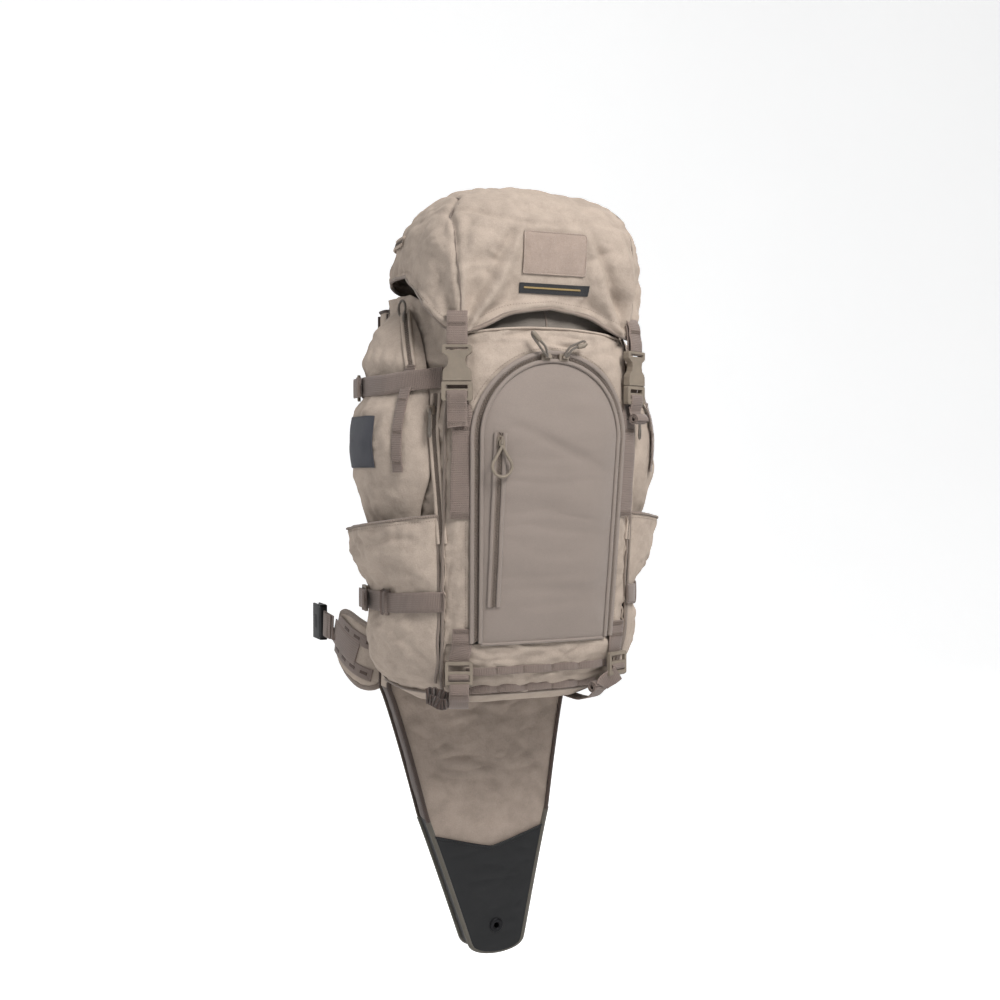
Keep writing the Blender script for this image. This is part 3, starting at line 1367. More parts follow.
def lid_corner_folds(grid, sign, front):
    x, y, z = np.moveaxis(grid, -1, 0)
    # folds that fan up from the strap tab
    radius = np.hypot(x - sign * 112, z - 452)
    angle = np.arctan2(x - sign * 112, z - 452) * sign
    warp = 1.2 * noise(grid, (60, 60, 60), 93 + sign)
    fan = np.cos(angle * 11.0 + 0.6 * sign + warp)
    push = 5.0 * np.exp(-((radius - 62) / 52.0) ** 2) * fan * front
    # a slanting valley and two ridges between the corner and the patch
    valley = x * sign - (112 - (z - 470) * 0.50)
    fade = (1 - smooth_step(575, 598, z)) * front
    push += -5.4 * gauss(valley, 5.5) * smooth_step(475, 505, z) * fade
    push += 4.4 * gauss(valley + 13, 7) * smooth_step(480, 510, z) * fade
    ridge = x * sign - (118 - (z - 470) * 0.22)
    push += 3.4 * gauss(ridge - 6, 5) * smooth_step(470, 500, z) * (
        1 - smooth_step(570, 600, z)) * front
    # corner seam: a narrow groove with a soft roll on each side
    seam = x * sign - lid_seam_x(z)
    groove = -2.6 * gauss(seam, 1.9) + 1.5 * gauss(np.abs(seam) - 6, 3.2)
    return push + groove * smooth_step(-150, -215, y) * (1 - smooth_step(632, 650, z))


def lid_folds(grid):
    x, y, z = np.moveaxis(grid, -1, 0)
    front = smooth_step(-200, -245, y)
    push = 2.8 * wrinkle(grid, (70, 60, 46), 91) + 1.7 * wrinkle(grid, (30, 30, 24), 92)
    for sign in (-1, 1):
        push += lid_corner_folds(grid, sign, front)
    # crease where the front meets the top
    crease = z - (600 - 5 * np.cos(x / 40.0) + 3 * np.sin(x / 23.0))
    rolls = -1.9 * gauss(crease, 2.6) + 1.7 * gauss(crease - 8, 5) + 0.9 * gauss(crease + 8, 5)
    push += rolls * front * (1 - smooth_step(118, 130, np.abs(x)))
    # the cloth stays flat under the patch and the label
    flat_area = ((1 - smooth_step(40, 54, np.abs(x - 1))) * smooth_step(498, 508, z)
                 * (1 - smooth_step(584, 596, z)) * front)
    push *= 1 - 0.9 * flat_area
    # a roll and a groove along the lower edge
    rows = LID_ROWS[:, None]
    push += 2.0 * gauss(z - (edge_z + 5), 3.4) * (rows < 0.5)
    push += -0.8 * gauss(z - (edge_z + 13), 2.6) * (rows < 0.6)
    crown = 3.2 * noise(grid, (80, 80, 80), 96) + 1.4 * wrinkle(grid, (46, 38, 40), 97)
    push += smooth_step(2.6, 4.0, rows) * crown
    return push * (1 - smooth_step(4.6, 5.3, rows))


def close_crown(bm, rows, cols):
    """Close the lid's small hole at the top and drop the rim faces inside it."""
    bm.verts.ensure_lookup_table()
    last = (rows - 1) * cols
    count = rows * cols
    bm.faces.new([bm.verts[last + j] for j in range(cols)][::-1])
    bm.faces.new([bm.verts[count + last + j] for j in range(cols)])
    rim = [f for f in bm.faces if len(f.verts) == 4
           and all(v.index % count >= last for v in f.verts)
           and len({v.index >= count for v in f.verts}) == 2]
    bmesh.ops.delete(bm, geom=rim, context="FACES_ONLY")
    recalc_normals(bm)


def lid_shell():
    rings = np.array([oval(*ring[1:], LID_ANGLES) for ring in LID_RINGS])
    grid = blur(interp_rows(LID_ROWS, [ring[0] for ring in LID_RINGS], rings), 5.0)
    grid, normals = inflate(grid, lid_folds(grid), LID_CENTRE, wrap=True)
    obj = sheet("lid_cloth", grid, normals, 2.2, "suede", wrap=True)
    edit_mesh(obj, lambda bm: close_crown(bm, *grid.shape[:2]))
    put(obj, "lid", "shell_fabric", "lid_shell")
    return obj, grid, normals


lid, LID_GRID, LID_NORMALS = lid_shell()
LID_TREE = bvh_of([lid])


def lid_trim():
    edge = LID_GRID[0][::3] + LID_NORMALS[0][::3] * -1.1
    trim("lid_edge_binding", resample(edge, 3.0, closed=True), UP, round_bar(2.3, 3.0),
         "bindtan", "lid", "webbing", closed=True)
    row, out = (np.concatenate([rows[5][::3], rows[5][:1]]) for rows in (LID_GRID, LID_NORMALS))
    stitches("lid_edge_stitch_a", row + out * 0.1, out, "lid", slot="shell_fabric")
    for side, sign in SIDES:
        z = np.linspace(468, 640, 60)
        path = np.stack([sign * lid_seam_x(z), np.full(60, -262.0), z], 1)
        path = drape(LID_TREE, path, -0.7, smooth=1.5, direction=(0, 1, -0.15), reach=90,
                     taut=False)
        trim(f"lid_corner_seam_{side}", resample(path, 3), (0, -1, 0.3), round_bar(1.3, 1.2),
             "bindtan", "lid", "webbing")


def lid_floor():
    """Thin cloth across the lid that sags a little."""
    grid = np.array([oval(146 * k, -158 - 113 * k, -158 + 113 * k, 3.4,
                          556 - 6 * (1 - k ** 2) if k < 1 else 557.0, COLLAR_ANGLES)
                     for k in (0.01, 0.2, 0.4, 0.6, 0.8, 0.93, 1.0)])
    grid[..., 2] += 1.5 * wrinkle(grid, (60, 60, 60), 98)
    obj = sheet("lid_floor_cloth", grid, np.broadcast_to(-UP, grid.shape), 1.2, "lining",
                wrap=True)
    put(obj, "lid", "lining_fabric", "lid_floor")


def on_lid(x_range, z_range, columns, rows, lift):
    """A patch of points on the lid's front."""
    x = np.linspace(*x_range, columns)
    grid = [drape(LID_TREE, np.stack([x, np.full(columns, -262.0), np.full(columns, z)], 1),
                  lift, smooth=0, taut=False) for z in np.linspace(*z_range, rows)]
    return blur_grid(np.array(grid))


def lid_patch_and_label():
    grid = on_lid((-41, 43), (534, 584), 44, 28, 1.9)
    pillow_x, pillow_z = (1 - np.abs(np.linspace(-1, 1, count)) ** 10 for count in (44, 28))
    grid[..., 1] -= 0.7 * pillow_x[None, :] * pillow_z[:, None]
    normals = outward(grid, LID_CENTRE)
    loops = 0.55 * noise(grid, (1.9, 1.9, 1.9), 99) + 0.3 * noise(grid, (9, 9, 9), 97)
    grid = grid + normals * loops[..., None]
    obj = sheet("lid_loop_pile", grid, normals, 1.5, "pile")
    put(obj, "lid", "loop_pile", "lid_loop_patch")
    trim("lid_patch_edge", resample(border(grid)[::3], 3.0, closed=True), (0, -1, 0.1),
         round_bar(0.9, 0.7), "pile", "lid", "webbing", closed=True)
    grid = on_lid((-44, 50), (510, 522.5), 50, 10, 1.4)
    normals = outward(grid, LID_CENTRE)
    obj = sheet("lid_label_cloth", grid, normals, 0.9, "label")
    put(obj, "lid", "label_fabric", "lid_label")
    stripe = grid[5, 3:-3] + normals[5, 3:-3] * 0.35
    trim("lid_label_stripe", resample(stripe[::4], 3.0), (0, -1, 0.1), flat(2.2, 0.5),
         "stripe", "lid", "label_fabric")


def lid_zip():
    """Pocket zip round the rear, ending on both sides."""
    path, normals = [], []
    for angle in np.linspace(math.radians(98), math.radians(262), 70):
        col = int(np.argmin(np.abs(signed_angle(LID_ANGLES - angle))))
        row = int(np.argmin(np.abs(LID_GRID[:90, col, 2] - 585)))
        path.append(LID_GRID[row, col] + LID_NORMALS[row, col])
        normals.append(LID_NORMALS[row, col])
    path = resample(blur(path, 2.0)[::2], 3.0)
    normals = spread(blur(normals, 2, keep=False), len(path))
    zip_run("lid_zip_{}", path, normals, "lid", flat(12, 1.0), tape_lift=0.6, gap=5.2,
            welt=round_bar(2.4, 1.7), coil_lift=0.9, nodes=["lid_zipper_track"], width=4.0)


lid_trim()
lid_floor()
lid_patch_and_label()
lid_zip()


# ------------------------------------------------------------------ webbing on the bag
class Turned:
    """An upright frame on a front corner, turned outwards about Z by an angle in degrees."""

    def __init__(self, centre, sign, degrees):
        angle = math.radians(degrees)
        self.centre = centre
        self.across = np.array([math.cos(angle), sign * math.sin(angle), 0.0])
        self.out = np.array([sign * math.sin(angle), -math.cos(angle), 0.0])

    def at(self, up, out, across=0.0):
        return self.centre + self.across * across + UP * up + self.out * out

    def path(self, rows):
        """Points from rows of (up, out) or (up, out, across)."""
        return np.array([self.at(*row) for row in rows])


def lid_buckle_straps(side, sign):
    centre = on_front(sign * 114, [392])
    centre = (centre + front_normals(centre) * 11.8)[0]
    centre[2] = 402.0
    buckle = Turned(centre, sign, 26)
    across, out, body = buckle.across, buckle.out, f"lid_buckle_{side}"
    # two layers from the lid's corner to the socket's bar; top is how far out the corner is
    top = float((np.array([sign * 112, -263.5, 474.0]) - centre) @ out)
    strap(f"lid_tab_{side}", buckle.path([
        (84, top - 4.5), (78, top - 0.6), (71, top + 1.4), (64, top + 1.6), (54, 2.8),
        (46, 3.0), (38.4, 2.2)]), out, "lid", nodes=["lid_webbing"], step=2.5)
    strap(f"lid_tab_rear_{side}", buckle.path([
        (76, top - 3.6), (66, top - 1.6), (52, -2.2), (38.4, -2.2)]), out, "lid", step=2.5)
    tack(f"lid_tab_tack_{side}", buckle.at(68, top + 2.5), across, out, "lid")
    # strap down the front, ending behind the buckle
    into, wide = np.array([-sign * 0.35, 0.94, 0]), (0.94, sign * 0.35, 0)
    base = on_front(sign * 113.0, np.linspace(374, 236, 34))
    base = lay(FRONT_TREE, base, into, wide, 25, 1.3)
    strap(f"front_strap_{side}", np.concatenate([base[:2:-1], [buckle.at(-25, -7.8)]]),
          np.concatenate([np.tile(-into, (31, 1)), [out]]), "pack", nodes=["front_webbing"])
    tack(f"front_strap_foot_{side}", base[-2] - into * 0.9, wide, -into, "pack", rows=3)
    tack(f"front_strap_head_{side}", base[7] - into * 0.9, wide, -into, "pack")
    # the tail through the ladder bar, riding with the prong half
    strap(f"buckle_tail_{side}", buckle.path([
        (-4.4, -4.4), (-8.2, -4.2), (-11.0, -1.5), (-11.2, 1.8), (-13.5, 4.5), (-19, 5.0),
        (-24, 3.8), (-31, 1.6)]), out, body, width=24.4, thick=1.4, step=2.0)
    if sign < 0:
        rows = [(-27, 0.6), (-34, 0.4), (-42, 0.2), (-50, 0.5), (-55, 1.2, 0.5)]
        strap(f"strap_tail_{side}", buckle.path(rows), out, body, width=24.6, thick=2.2,
              step=2.5)
        tack(f"strap_tail_tack_{side}", buckle.at(-51.5, 1.9), across, out, body)
    else:
        strap(f"strap_tail_{side}", buckle.path([(-27, 0.6), (-33, 1.2), (-38, 3.2)]), out,
              body, width=24.6, thick=1.8, step=2.5)
        spiral(f"strap_roll_{side}", buckle.at(-43, 6.6), across, 2.3, 2.2, 7.0, body)


def cad_box(name):
    """Low and high corners of a CAD piece, in mm."""
    return [np.array(corner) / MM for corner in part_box(name)]


def bottom_strap(side, sign):
    centre = sum(cad_box(f"bottom_adjuster_{side}")) / 2
    adjuster = Turned(centre, sign, 22)
    out = adjuster.out
    into, wide = np.array([-sign * 0.3, 0.95, 0]), (0.95, sign * 0.3, 0)
    base = on_front(sign * 106.0, np.linspace(101, 72, 9))
    base = lay(FRONT_TREE, base, into, wide, 25, 1.5, smooth=2)
    upper = np.concatenate([base[:-1], adjuster.path([(17, -4.0), (12, -3.2), (9.2, -2.6)])])
    strap(f"bottom_strap_{side}", upper,
          np.concatenate([np.tile(-into, (8, 1)), np.tile(out, (3, 1))]), "pack",
          nodes=["bottom_strap_webbing"], step=2.5)
    for letter, k in (("a", 1), ("b", 5)):
        tack(f"bottom_strap_tack_{letter}_{side}", base[k] - into * 1.1, wide, -into, "pack")
    # over the adjuster's bar, down and back beneath the base, in one plane to lie flat
    profile = [(2.5, -3.6), (0.5, 0.4), (-1.0, 2.9), (-5.0, 3.0), (-7.4, 0.0), (-10, -4.4),
               (-17, -9.0), (-27, -15), (8.0 - centre[2], -28), (-2.4 - centre[2], -40),
               (-7.4 - centre[2], -57)]
    fine = resample([(up, depth, 0) for up, depth in profile], 1.5)[:, :2]
    tangent = unit(blur(np.gradient(fine, axis=0), 1.5))
    path = adjuster.path(fine)
    normals = np.outer(-tangent[:, 0], out) + np.outer(tangent[:, 1], UP)
    back = path[-1] + np.array([(-sign * 1.5, 16, 0), (-sign * 2.5, 50, 0),
                                (-sign * 2.5, 95, 0)])
    strap(f"bottom_strap_lower_{side}", np.concatenate([path[::3], back]),
          np.concatenate([normals[::3], np.tile(-UP, (3, 1))]), "pack", width=24, step=2.5)
    if sign > 0:
        # rolled end, inward of the adjuster
        spiral("bottom_roll_right", adjuster.at(-29, -14, -22), adjuster.across, 2.2, 2.4, 7.4,
               "pack")
        strap("bottom_roll_tail_right", adjuster.path([
            (-11.5, 3.9, -2), (-15.5, 1.0, -7), (-20, -3.6, -14), (-24.5, -6.8, -20),
            (-28, -6.9, -22)]), out, "pack", width=23, step=2.0)
    else:
        bottom_fold(adjuster)


def bottom_fold(adjuster):
    """Left strap: its end turned up over itself, and a crumpled bundle beside it."""
    out, across = adjuster.out, adjuster.across
    facing = [out, out, out, out * 0.8 - UP * 0.6, out * 0.1 - UP, -out * 0.8 - UP * 0.6, -out]
    strap("bottom_fold_left", adjuster.path([
        (-12, 3.6, 0.5), (-17, 5.4, 0.5), (-24, 5.8, 0.3), (-30, 4.0, 0.2), (-33.5, 0.4, 0.2),
        (-32, -3.2, 0.2), (-26, -4.6, 0.2)]), facing, "pack", width=24, step=1.5)
    tack("bottom_fold_tack_left", adjuster.at(-26, 6.8, 0.4), across, out, "pack")
    # across from and to, up, out, depth of the crumples, strap width
    bundles = ((-40, -13, -27, -4.0, 3.4, 19), (-36, -15, -33, 0.5, 2.6, 13))
    for j, (start, end, rise, depth, crumple, width) in enumerate(bundles):
        t = np.linspace(0, 1, 90)
        sideways = start + (end - start) * t
        zigzag = np.sin(t * math.pi * (9.0 + 2 * j) + j) * (0.7 + 0.3 * np.sin(t * 7 + j))
        outwards = depth + crumple * zigzag
        height = rise + 2.2 * np.sin(t * 5.0 + 1.3 * j) - 3.0 * t
        normals = (np.outer(np.gradient(sideways), out)
                   - np.outer(np.gradient(outwards), across))
        strap(f"bottom_bundle_left_{j}", adjuster.path(zip(height, outwards, sideways)),
              unit(normals), "pack", width=width, thick=1.1, finish="bind", step=1.4)


def compression_strap(side, sign, level, rear_z, front_z):
    name = f"compression_{level}"
    y = np.linspace(-232, -76, 60)
    z = rear_z + (front_z - rear_z) * (1 - smooth_step(-232, -170, y))
    path = np.stack([sign * side_x(np.maximum(y, -226), z), y, z], 1)
    into = np.stack([np.full(60, -sign), 1.1 * smooth_step(-185, -232, y), np.zeros(60)], 1)
    path = lay(SIDE_TREE, path, into, UP, 25, 1.3, smooth=2.6, reach=75, taut=3)
    normals = side_normals(path, sign)
    rear = [(sign * (float(side_x(-60, rear_z)) + 9), -62, rear_z),
            (sign * (float(side_x(-52, rear_z)) + 4.5), -52.5, rear_z)]
    path = np.concatenate([path, rear])
    normals = np.concatenate([normals, normals[-1:], normals[-1:]])
    strap(f"{name}_{side}", path, normals, "pack", nodes=["compression_webbing"])
    tack(f"{name}_tack_{side}", path[1] + normals[1], UP, normals[1], "pack")
    # loose end in front of y = -96, turned back on itself
    k = int(np.argmin(np.abs(path[:, 1] + 96)))
    out = normals[k]
    start = path[k] + out * 7.6
    along = FORWARD + out * 0.12
    end = [start + np.array([0, 12, 0]) - out * 0.5, start]
    end += [start + along * a + out * b
            for a, b in ((12, 0.6), (26, -0.6), (34, 1.4), (33, 5.0), (25, 4.2))]
    strap(f"{name}_end_{side}", end, out, "pack", step=2.0)
    if level == "upper":
        pocket_gear_strap(side, sign, rear_z)
    else:
        k = int(np.argmin(np.abs(path[:, 1] + 158)))
        keeper = [path[k] + UP * a + normals[k] * b for a, b in (
            (13.6, 0.4), (13.0, 2.2), (0, 2.7), (-13.0, 2.2), (-13.6, 0.4), (-13.2, -1.6),
            (13.2, -1.6))]
        trim(f"compression_keeper_{side}", resample(keeper, 2.5, closed=True),
             np.cross(normals[k], UP), flat(1.3, 11), "web", "pack", "webbing", closed=True)


def pocket_gear_strap(side, sign, cross_z):
    """Upright strap on the tall pocket, over the compression strap, with lifted loops."""
    z = np.linspace(cross_z + 24, cross_z - 108, 44)
    into, wide = np.array([-sign * 0.80, 0.6, 0]), (0.6, 0.8 * sign, 0)
    path = np.stack([sign * side_x(np.full(44, -186.0), z), np.full(44, -186.0), z], 1)
    path = lay(SIDE_TREE, path, into, wide, 15, 1.2, smooth=2.0, reach=75)
    loops = 1.3 * np.abs(np.sin((z - 260) / 19.0 * math.pi / 2)) * (z < cross_z - 16)
    path = path - into * (2.6 * gauss(z - cross_z, 15) + loops)[:, None]
    strap(f"pocket_gear_strap_{side}", path, -into, "pack", width=15, thick=1.5,
          nodes=["gear_loop_webbing"])
    for j, offset in enumerate((22, -20, -58, -96)):
        k = int(np.argmin(np.abs(z - (cross_z + offset))))
        tack(f"pocket_gear_tack{j}_{side}", path[k] - into * 0.9, wide, -into, "pack", width=13)


def gear_loops(z, half):
    """A row of low loops across the front below the door."""
    pitch = 38.0
    x = np.linspace(-half, half, 100)
    path = drape(FRONT_TREE, on_front(x, z), 1.0, smooth=2.5)
    path[:, 1] -= 2.6 * np.sin(math.pi * (((x + half) % pitch) / pitch)) ** 0.6
    strap(f"gear_loops_{int(z)}", path, (0, -1.0, 0.05), "pack", width=10, thick=1.5, step=2.5)
    for j, tack_x in enumerate(np.arange(-half, half + 1, pitch)):
        k = min(max(int(np.argmin(np.abs(x - tack_x))), 1), 98)
        tack(f"gear_tack_{int(z)}_{j}", path[k] + FORWARD, UP, FORWARD, "pack", width=9,
             gap=1.9)


def side_patch():
    """Blank patch on the left tall pocket."""
    grid, normals = TALL_POCKETS["left"]
    low, high = np.searchsorted(grid[:, 0, 2], 296), np.searchsorted(grid[:, 0, 2], 362)
    y = grid[int((low + high) / 2), :, 1]
    fore, rear = int(np.argmin(np.abs(y + 178))), int(np.argmin(np.abs(y + 96)))
    area = (slice(low, high), slice(fore, rear))
    patch = blur_grid(grid[area] + normals[area] * 1.6)
    normals = outward(patch, CENTRE)
    patch = patch + normals * 0.7
    put(sheet("side_patch_cloth", patch, normals, 1.1, "patch"), "pack", "label_fabric",
        "side_patch")
    edge, out = border(patch), border(normals)
    edge = edge + (patch.reshape(-1, 3).mean(0) - edge) * 0.05 + out * 0.6
    stitches("side_patch_stitch", np.concatenate([edge, edge[:1]]),
             np.concatenate([out, out[:1]]), "pack", finish="label", slot="label_fabric")


for side, sign in SIDES:
    lid_buckle_straps(side, sign)
for side, sign in SIDES:
    bottom_strap(side, sign)
for side, sign in SIDES:
    compression_strap(side, sign, "upper", UPPER_CINCH_Z, 408.0)
    compression_strap(side, sign, "lower", LOWER_CINCH_Z, 134.0)
gear_loops(46.0, half=98.0)
gear_loops(21.0, half=90.0)
side_patch()

# ------------------------------------------------------------------ zip pulls
# loops of cord, as offsets from the slider; x is mirrored for the arch zips
ARCH_PULLS = {
    "left": [(0, 0, 0), (-2, -2.5, 4), (-5, -3.5, 12), (-12, -3.6, 19), (-19, -3.0, 27),
             (-22, -2.2, 29), (-21, -1.4, 24), (-14, -2.0, 15), (-8, -2.0, 7), (-3, -1.5, 2),
             (0, 0, -1)],
    "right": [(0, 0, 0), (3, -2.5, 3), (7, -3.5, 9), (15, -3.6, 13), (24, -3.0, 15),
              (27, -2.2, 18), (24, -1.6, 20.5), (15, -2.0, 17), (6, -2.0, 13), (1, -1.5, 7),
              (-1, 0, 1)]}
LID_PULL = [(0, 0, 0), (2, 2.4, -5), (3, 2.6, -17), (4, 2.4, -28), (6, 2.0, -30),
            (6, 2.4, -26), (4, 2.6, -15), (1, 1.6, -4), (-1, 0, 1)]


def slider_point(name, rear=False):
    """A point 1.2 mm inside the middle of a slider's front or rear."""
    low, high = cad_box(name)
    point = (low + high) / 2
    point[1] = high[1] - 1.2 if rear else low[1] + 1.2
    return point


def cord(name, path, facing, radius, body, count=8):
    trim(name, resample(path, 1.6), facing, round_bar(radius, radius, count), "cord", body,
         "cord")


def arch_pull(side):
    path = slider_point(f"arch_zip_slider_{side}") + np.array(ARCH_PULLS[side])
    body = f"arch_zip_{side}"
    cord(f"arch_pull_cord_{side}", path, (0.02, -1, 0.05), 1.5, body, count=9)
    trim(f"arch_pull_grip_{side}", resample(path[3:6], 1.5), FORWARD, round_bar(2.9, 2.5),
         "plast", body, "moulded_plastic")


def side_pulls(side, sign):
    """A ring of cord with a tail at the pocket's top, and a loop on the side slider."""
    grid, normals = TALL_POCKETS[side]
    row = int(np.argmin(np.abs(grid[:, 0, 2] - 493)))
    x, y, z = top = grid[row, 5] + normals[row, 5] * 3
    angle = turn(22)
    ring = np.stack([x + sign * (2 + 1.5 * np.cos(angle)), y + 8.5 * np.cos(angle) + 6,
                     z + 10 * np.sin(angle) + 6], 1)
    trim(f"pocket_top_ring_{side}", resample(ring, 2, closed=True), (sign, 0, 0),
         round_bar(1.6, 1.6, 8), "cord", "pack", "cord", closed=True)
    tail = [(2, -3, 0), (5, -9, -5), (6, -13, -14), (6, -14, -22)]
    cord(f"pocket_top_tail_{side}", top + np.array(tail) * (sign, 1, 1), (sign, -0.3, 0), 1.7,
         "pack")
    loop = [(0, 0, 0), (1, -2.5, -6), (1, -3, -18), (0.5, -2.8, -30), (2.0, -2.4, -33),
            (3.0, -2.4, -29), (2.4, -2.8, -17), (1.5, -2.4, -5), (0, 0.5, 1)]
    start = slider_point(f"side_zip_slider_{side}") + (sign * 1.5, 0, 0)
    cord(f"side_pull_cord_{side}", start + np.array(loop) * (sign, 1, 1), (0.02, -1, 0.05),
         1.25, f"side_zip_{side}", count=9)


for side, sign in SIDES:
    arch_pull(side)
for side, sign in SIDES:
    side_pulls(side, sign)
cord("lid_pull_cord", slider_point("lid_zip_slider", rear=True) + np.array(LID_PULL), REARWARD,
     1.3, "lid_zip_slider")

# ------------------------------------------------------------------ scabbard
ROLL = math.radians(4.0)        # lean of the tapered part, seen from the front
TAPER_TOP, TAPER_JOINT, TAPER_END = -4.0, -186.0, -368.0
HALF_TOP, HALF_JOINT, HALF_END = 134, 92, 40
FOLD_CUT_Z = -96.0              # where panels stop following one fold and follow the next
# part, bodies it bends between, start and end of the bend in mm
SCABBARD_FOLDS = (
    ("upper", ("pack", "scabbard_lower"), (0, -44.4, 3.0), (0, -44.4, -16.0)),
    ("lower", ("scabbard_lower", "scabbard_tip"), (0, -6.6, -176.0), (0, -6.6, -200.0)))


def lean(x, z):
    """x of a point once the scabbard leans."""
    return x * math.cos(ROLL) - (z - TAPER_TOP) * math.sin(ROLL)


def half_width(z):
    z = np.asarray(z, float)
    upper = np.clip((TAPER_TOP - z) / (TAPER_TOP - TAPER_JOINT), 0, 1)
    lower = np.clip((TAPER_JOINT - z) / (TAPER_JOINT - TAPER_END), 0, 1)
    return np.where(z >= TAPER_JOINT, HALF_TOP + (HALF_JOINT - HALF_TOP) * upper ** 0.85,
                    HALF_JOINT + (HALF_END - HALF_JOINT) * lower ** 0.95)


def sleeve():
    """Soft flattened tube behind the bag, open at the top."""
    grid = np.stack([oval(136.0, -44.0, -7.0, 7.0, z, turn(160))
                     for z in np.linspace(508, -1, 120)])
    push = -0.9 + 0.9 * wrinkle(grid, (70, 20, 44), 120)
    push = np.where(grid[..., 1] > -30, push * 0.6, push)
    grid, normals = inflate(grid, push, (0, -25, 250), wrap=True)
    put(sheet("scabbard_sleeve_cloth", grid, normals, 2.0, "suede", wrap=True), "pack",
        "shell_fabric", "scabbard_sleeve")
    trim("sleeve_top_binding", resample(grid[0][::4] + UP * 0.5, 4, closed=True), UP,
         round_bar(2.4, 2.2), "bind", "pack", "binding", closed=True)
    for side, sign in SIDES:
        for k, y in enumerate((-43.4, -8.0)):
            path = [(sign * 134.2, y, z) for z in np.linspace(504, 2, 40)]
            trim(f"sleeve_side_binding_{side}_{k}", resample(path, 6), (sign, 0, 0),
                 round_bar(2.0, 2.0), "bind", "pack", "binding")


def boot_top(u):
    """Top edge of the boot's front: higher at the sides, lower in the middle."""
    return -212.0 - 22.0 * (1 - np.abs(u) ** 1.15)


def boot_bottom(u):
    return TAPER_END - 15.0 * np.sqrt(np.clip(1 - u ** 2, 0, 1))


def tapered(y, top, bottom, inset, crown, facing, rows, columns, seed, fold=1.0, calm=0.0):
    """A panel of the tapered scabbard; facing is -1 for the front and 1 for the rear.

    top and bottom are functions of u, which runs from -1 to 1 across the panel.
    calm flattens the cloth from that height above the bottom edge downwards.
    """
    u = np.linspace(-1, 1, columns)[None, :]
    v = np.linspace(0, 1, rows)[:, None]
    top, bottom = top(u), bottom(u)
    z = top + (bottom - top) * v
    x = lean(u * (half_width(np.maximum(z, TAPER_END)) - inset), z)
    grid = np.stack([x, np.full_like(x, y), z], -1)
    swell = crown * (1 - np.abs(u) ** 3.2)
    folds = 2.9 * wrinkle(grid, (90, 60, 34), seed) + 1.5 * wrinkle(grid, (34, 30, 26), seed + 1)
    folds = fold * folds * (1 - np.abs(u) ** 6)
    if calm:
        keep = 1 - smooth_step(bottom + calm + 22, bottom + calm - 2, z)
        folds = folds * keep
        swell = swell * (0.55 + 0.45 * keep)
    grid[..., 1] += facing * (swell + folds)
    centre = (grid[..., 0].mean(), -25.5, grid[..., 2].mean())
    return grid, outward(grid, centre)


def fold_parts(heights):
    """Split rows at the cut: yields part name, rows, and a function that attaches a piece."""
    cut = int(np.argmin(np.abs(heights - FOLD_CUT_Z)))
    spans = (slice(0, cut + 1), slice(cut, len(heights)))
    for (part, bodies, start, end), rows in zip(SCABBARD_FOLDS, spans):
        start, end = (tuple(c * MM for c in point) for point in (start, end))

        def attach(obj, slot, *nodes, bodies=bodies, start=start, end=end):
            put_blend(obj, bodies, start, end, slot, *nodes)
        yield part, rows, attach


def level(z):
    """A level edge, as a function of u."""
    return lambda u: z + 0 * u


def scabbard_panel(name, y, facing, bottom, seed, crown):
    """One long panel in two parts; shared normals keep the shading even at the cut."""
    grid, normals = tapered(y, level(8.0), bottom, 3.0, crown, facing, 150, 90, seed,
                            calm=14.0)
    for part, rows, attach in fold_parts(grid[:, 45, 2]):
        obj = sheet(f"{name}_{part}", grid[rows], normals[rows], 2.0, "suede_low")
        attach(obj, "shell_fabric", "scabbard_lower_panels")


def scabbard_gusset(side, sign):
    z = np.linspace(6, -190, 90)
    grid = np.zeros((90, 12, 3))
    grid[..., 0] = lean(sign * (half_width(z) - 1.6), z)[:, None]
    grid[..., 0] += sign * 1.8 * np.sin(np.linspace(0, math.pi, 12))
    grid[..., 1] = np.linspace(-42.6, -8.4, 12)
    grid[..., 2] = z[:, None]
    grid[..., 0] += sign * 0.8 * wrinkle(grid, (30, 30, 30), 140 + sign)
    normals = outward(grid, (0, -25, -90))
    for part, rows, attach in fold_parts(z):
        obj = sheet(f"scabbard_gusset_{part}_{side}", grid[rows], normals[rows], 1.8, "bind")
        attach(obj, "binding", "scabbard_lower_gussets")
        for k, (y, facing) in enumerate(((-43.0, -1), (-8.0, 1))):
            x = lean(sign * (half_width(z[rows]) - 0.6), z[rows])
            path = resample(np.stack([x, np.full(len(x), y), z[rows]], 1), 3.5)
            attach(sweep(f"scabbard_binding_{part}_{side}_{k}", path, (sign, facing, 0),
                         round_bar(3.6, 2.7), "bind"), "binding")


def boot_eyelet(front):
    """A hole near the boot's end, with a metal flange and barrel."""
    z = TAPER_END + 22
    x = lean(0, z)

    def cut_hole(bm):
        hole = []
        for face in bm.faces:
            middle = face.calc_center_median()
            if math.hypot(middle.x / MM - x, middle.z / MM - z) < 5.6:
                hole.append(face)
        bmesh.ops.delete(bm, geom=hole, context="FACES")

    edit_mesh(front, cut_hole)
    angle = turn(48)
    barrel = [(-0.5, -3.2), (0.5, -3.2), (0.5, 3.2), (-0.5, 3.2)]
    for part, radius, y, profile in (("flange", 7.0, -46.9, round_bar(3.0, 1.5, 14)),
                                     ("barrel", 4.4, -44.3, barrel)):
        ring = np.stack([x + radius * np.cos(angle), np.full(48, y),
                         z + radius * np.sin(angle)], 1)
        trim(f"boot_eyelet_{part}", ring, FORWARD, profile, "eyelet", "scabbard_tip",
             "grommet_metal", closed=True)


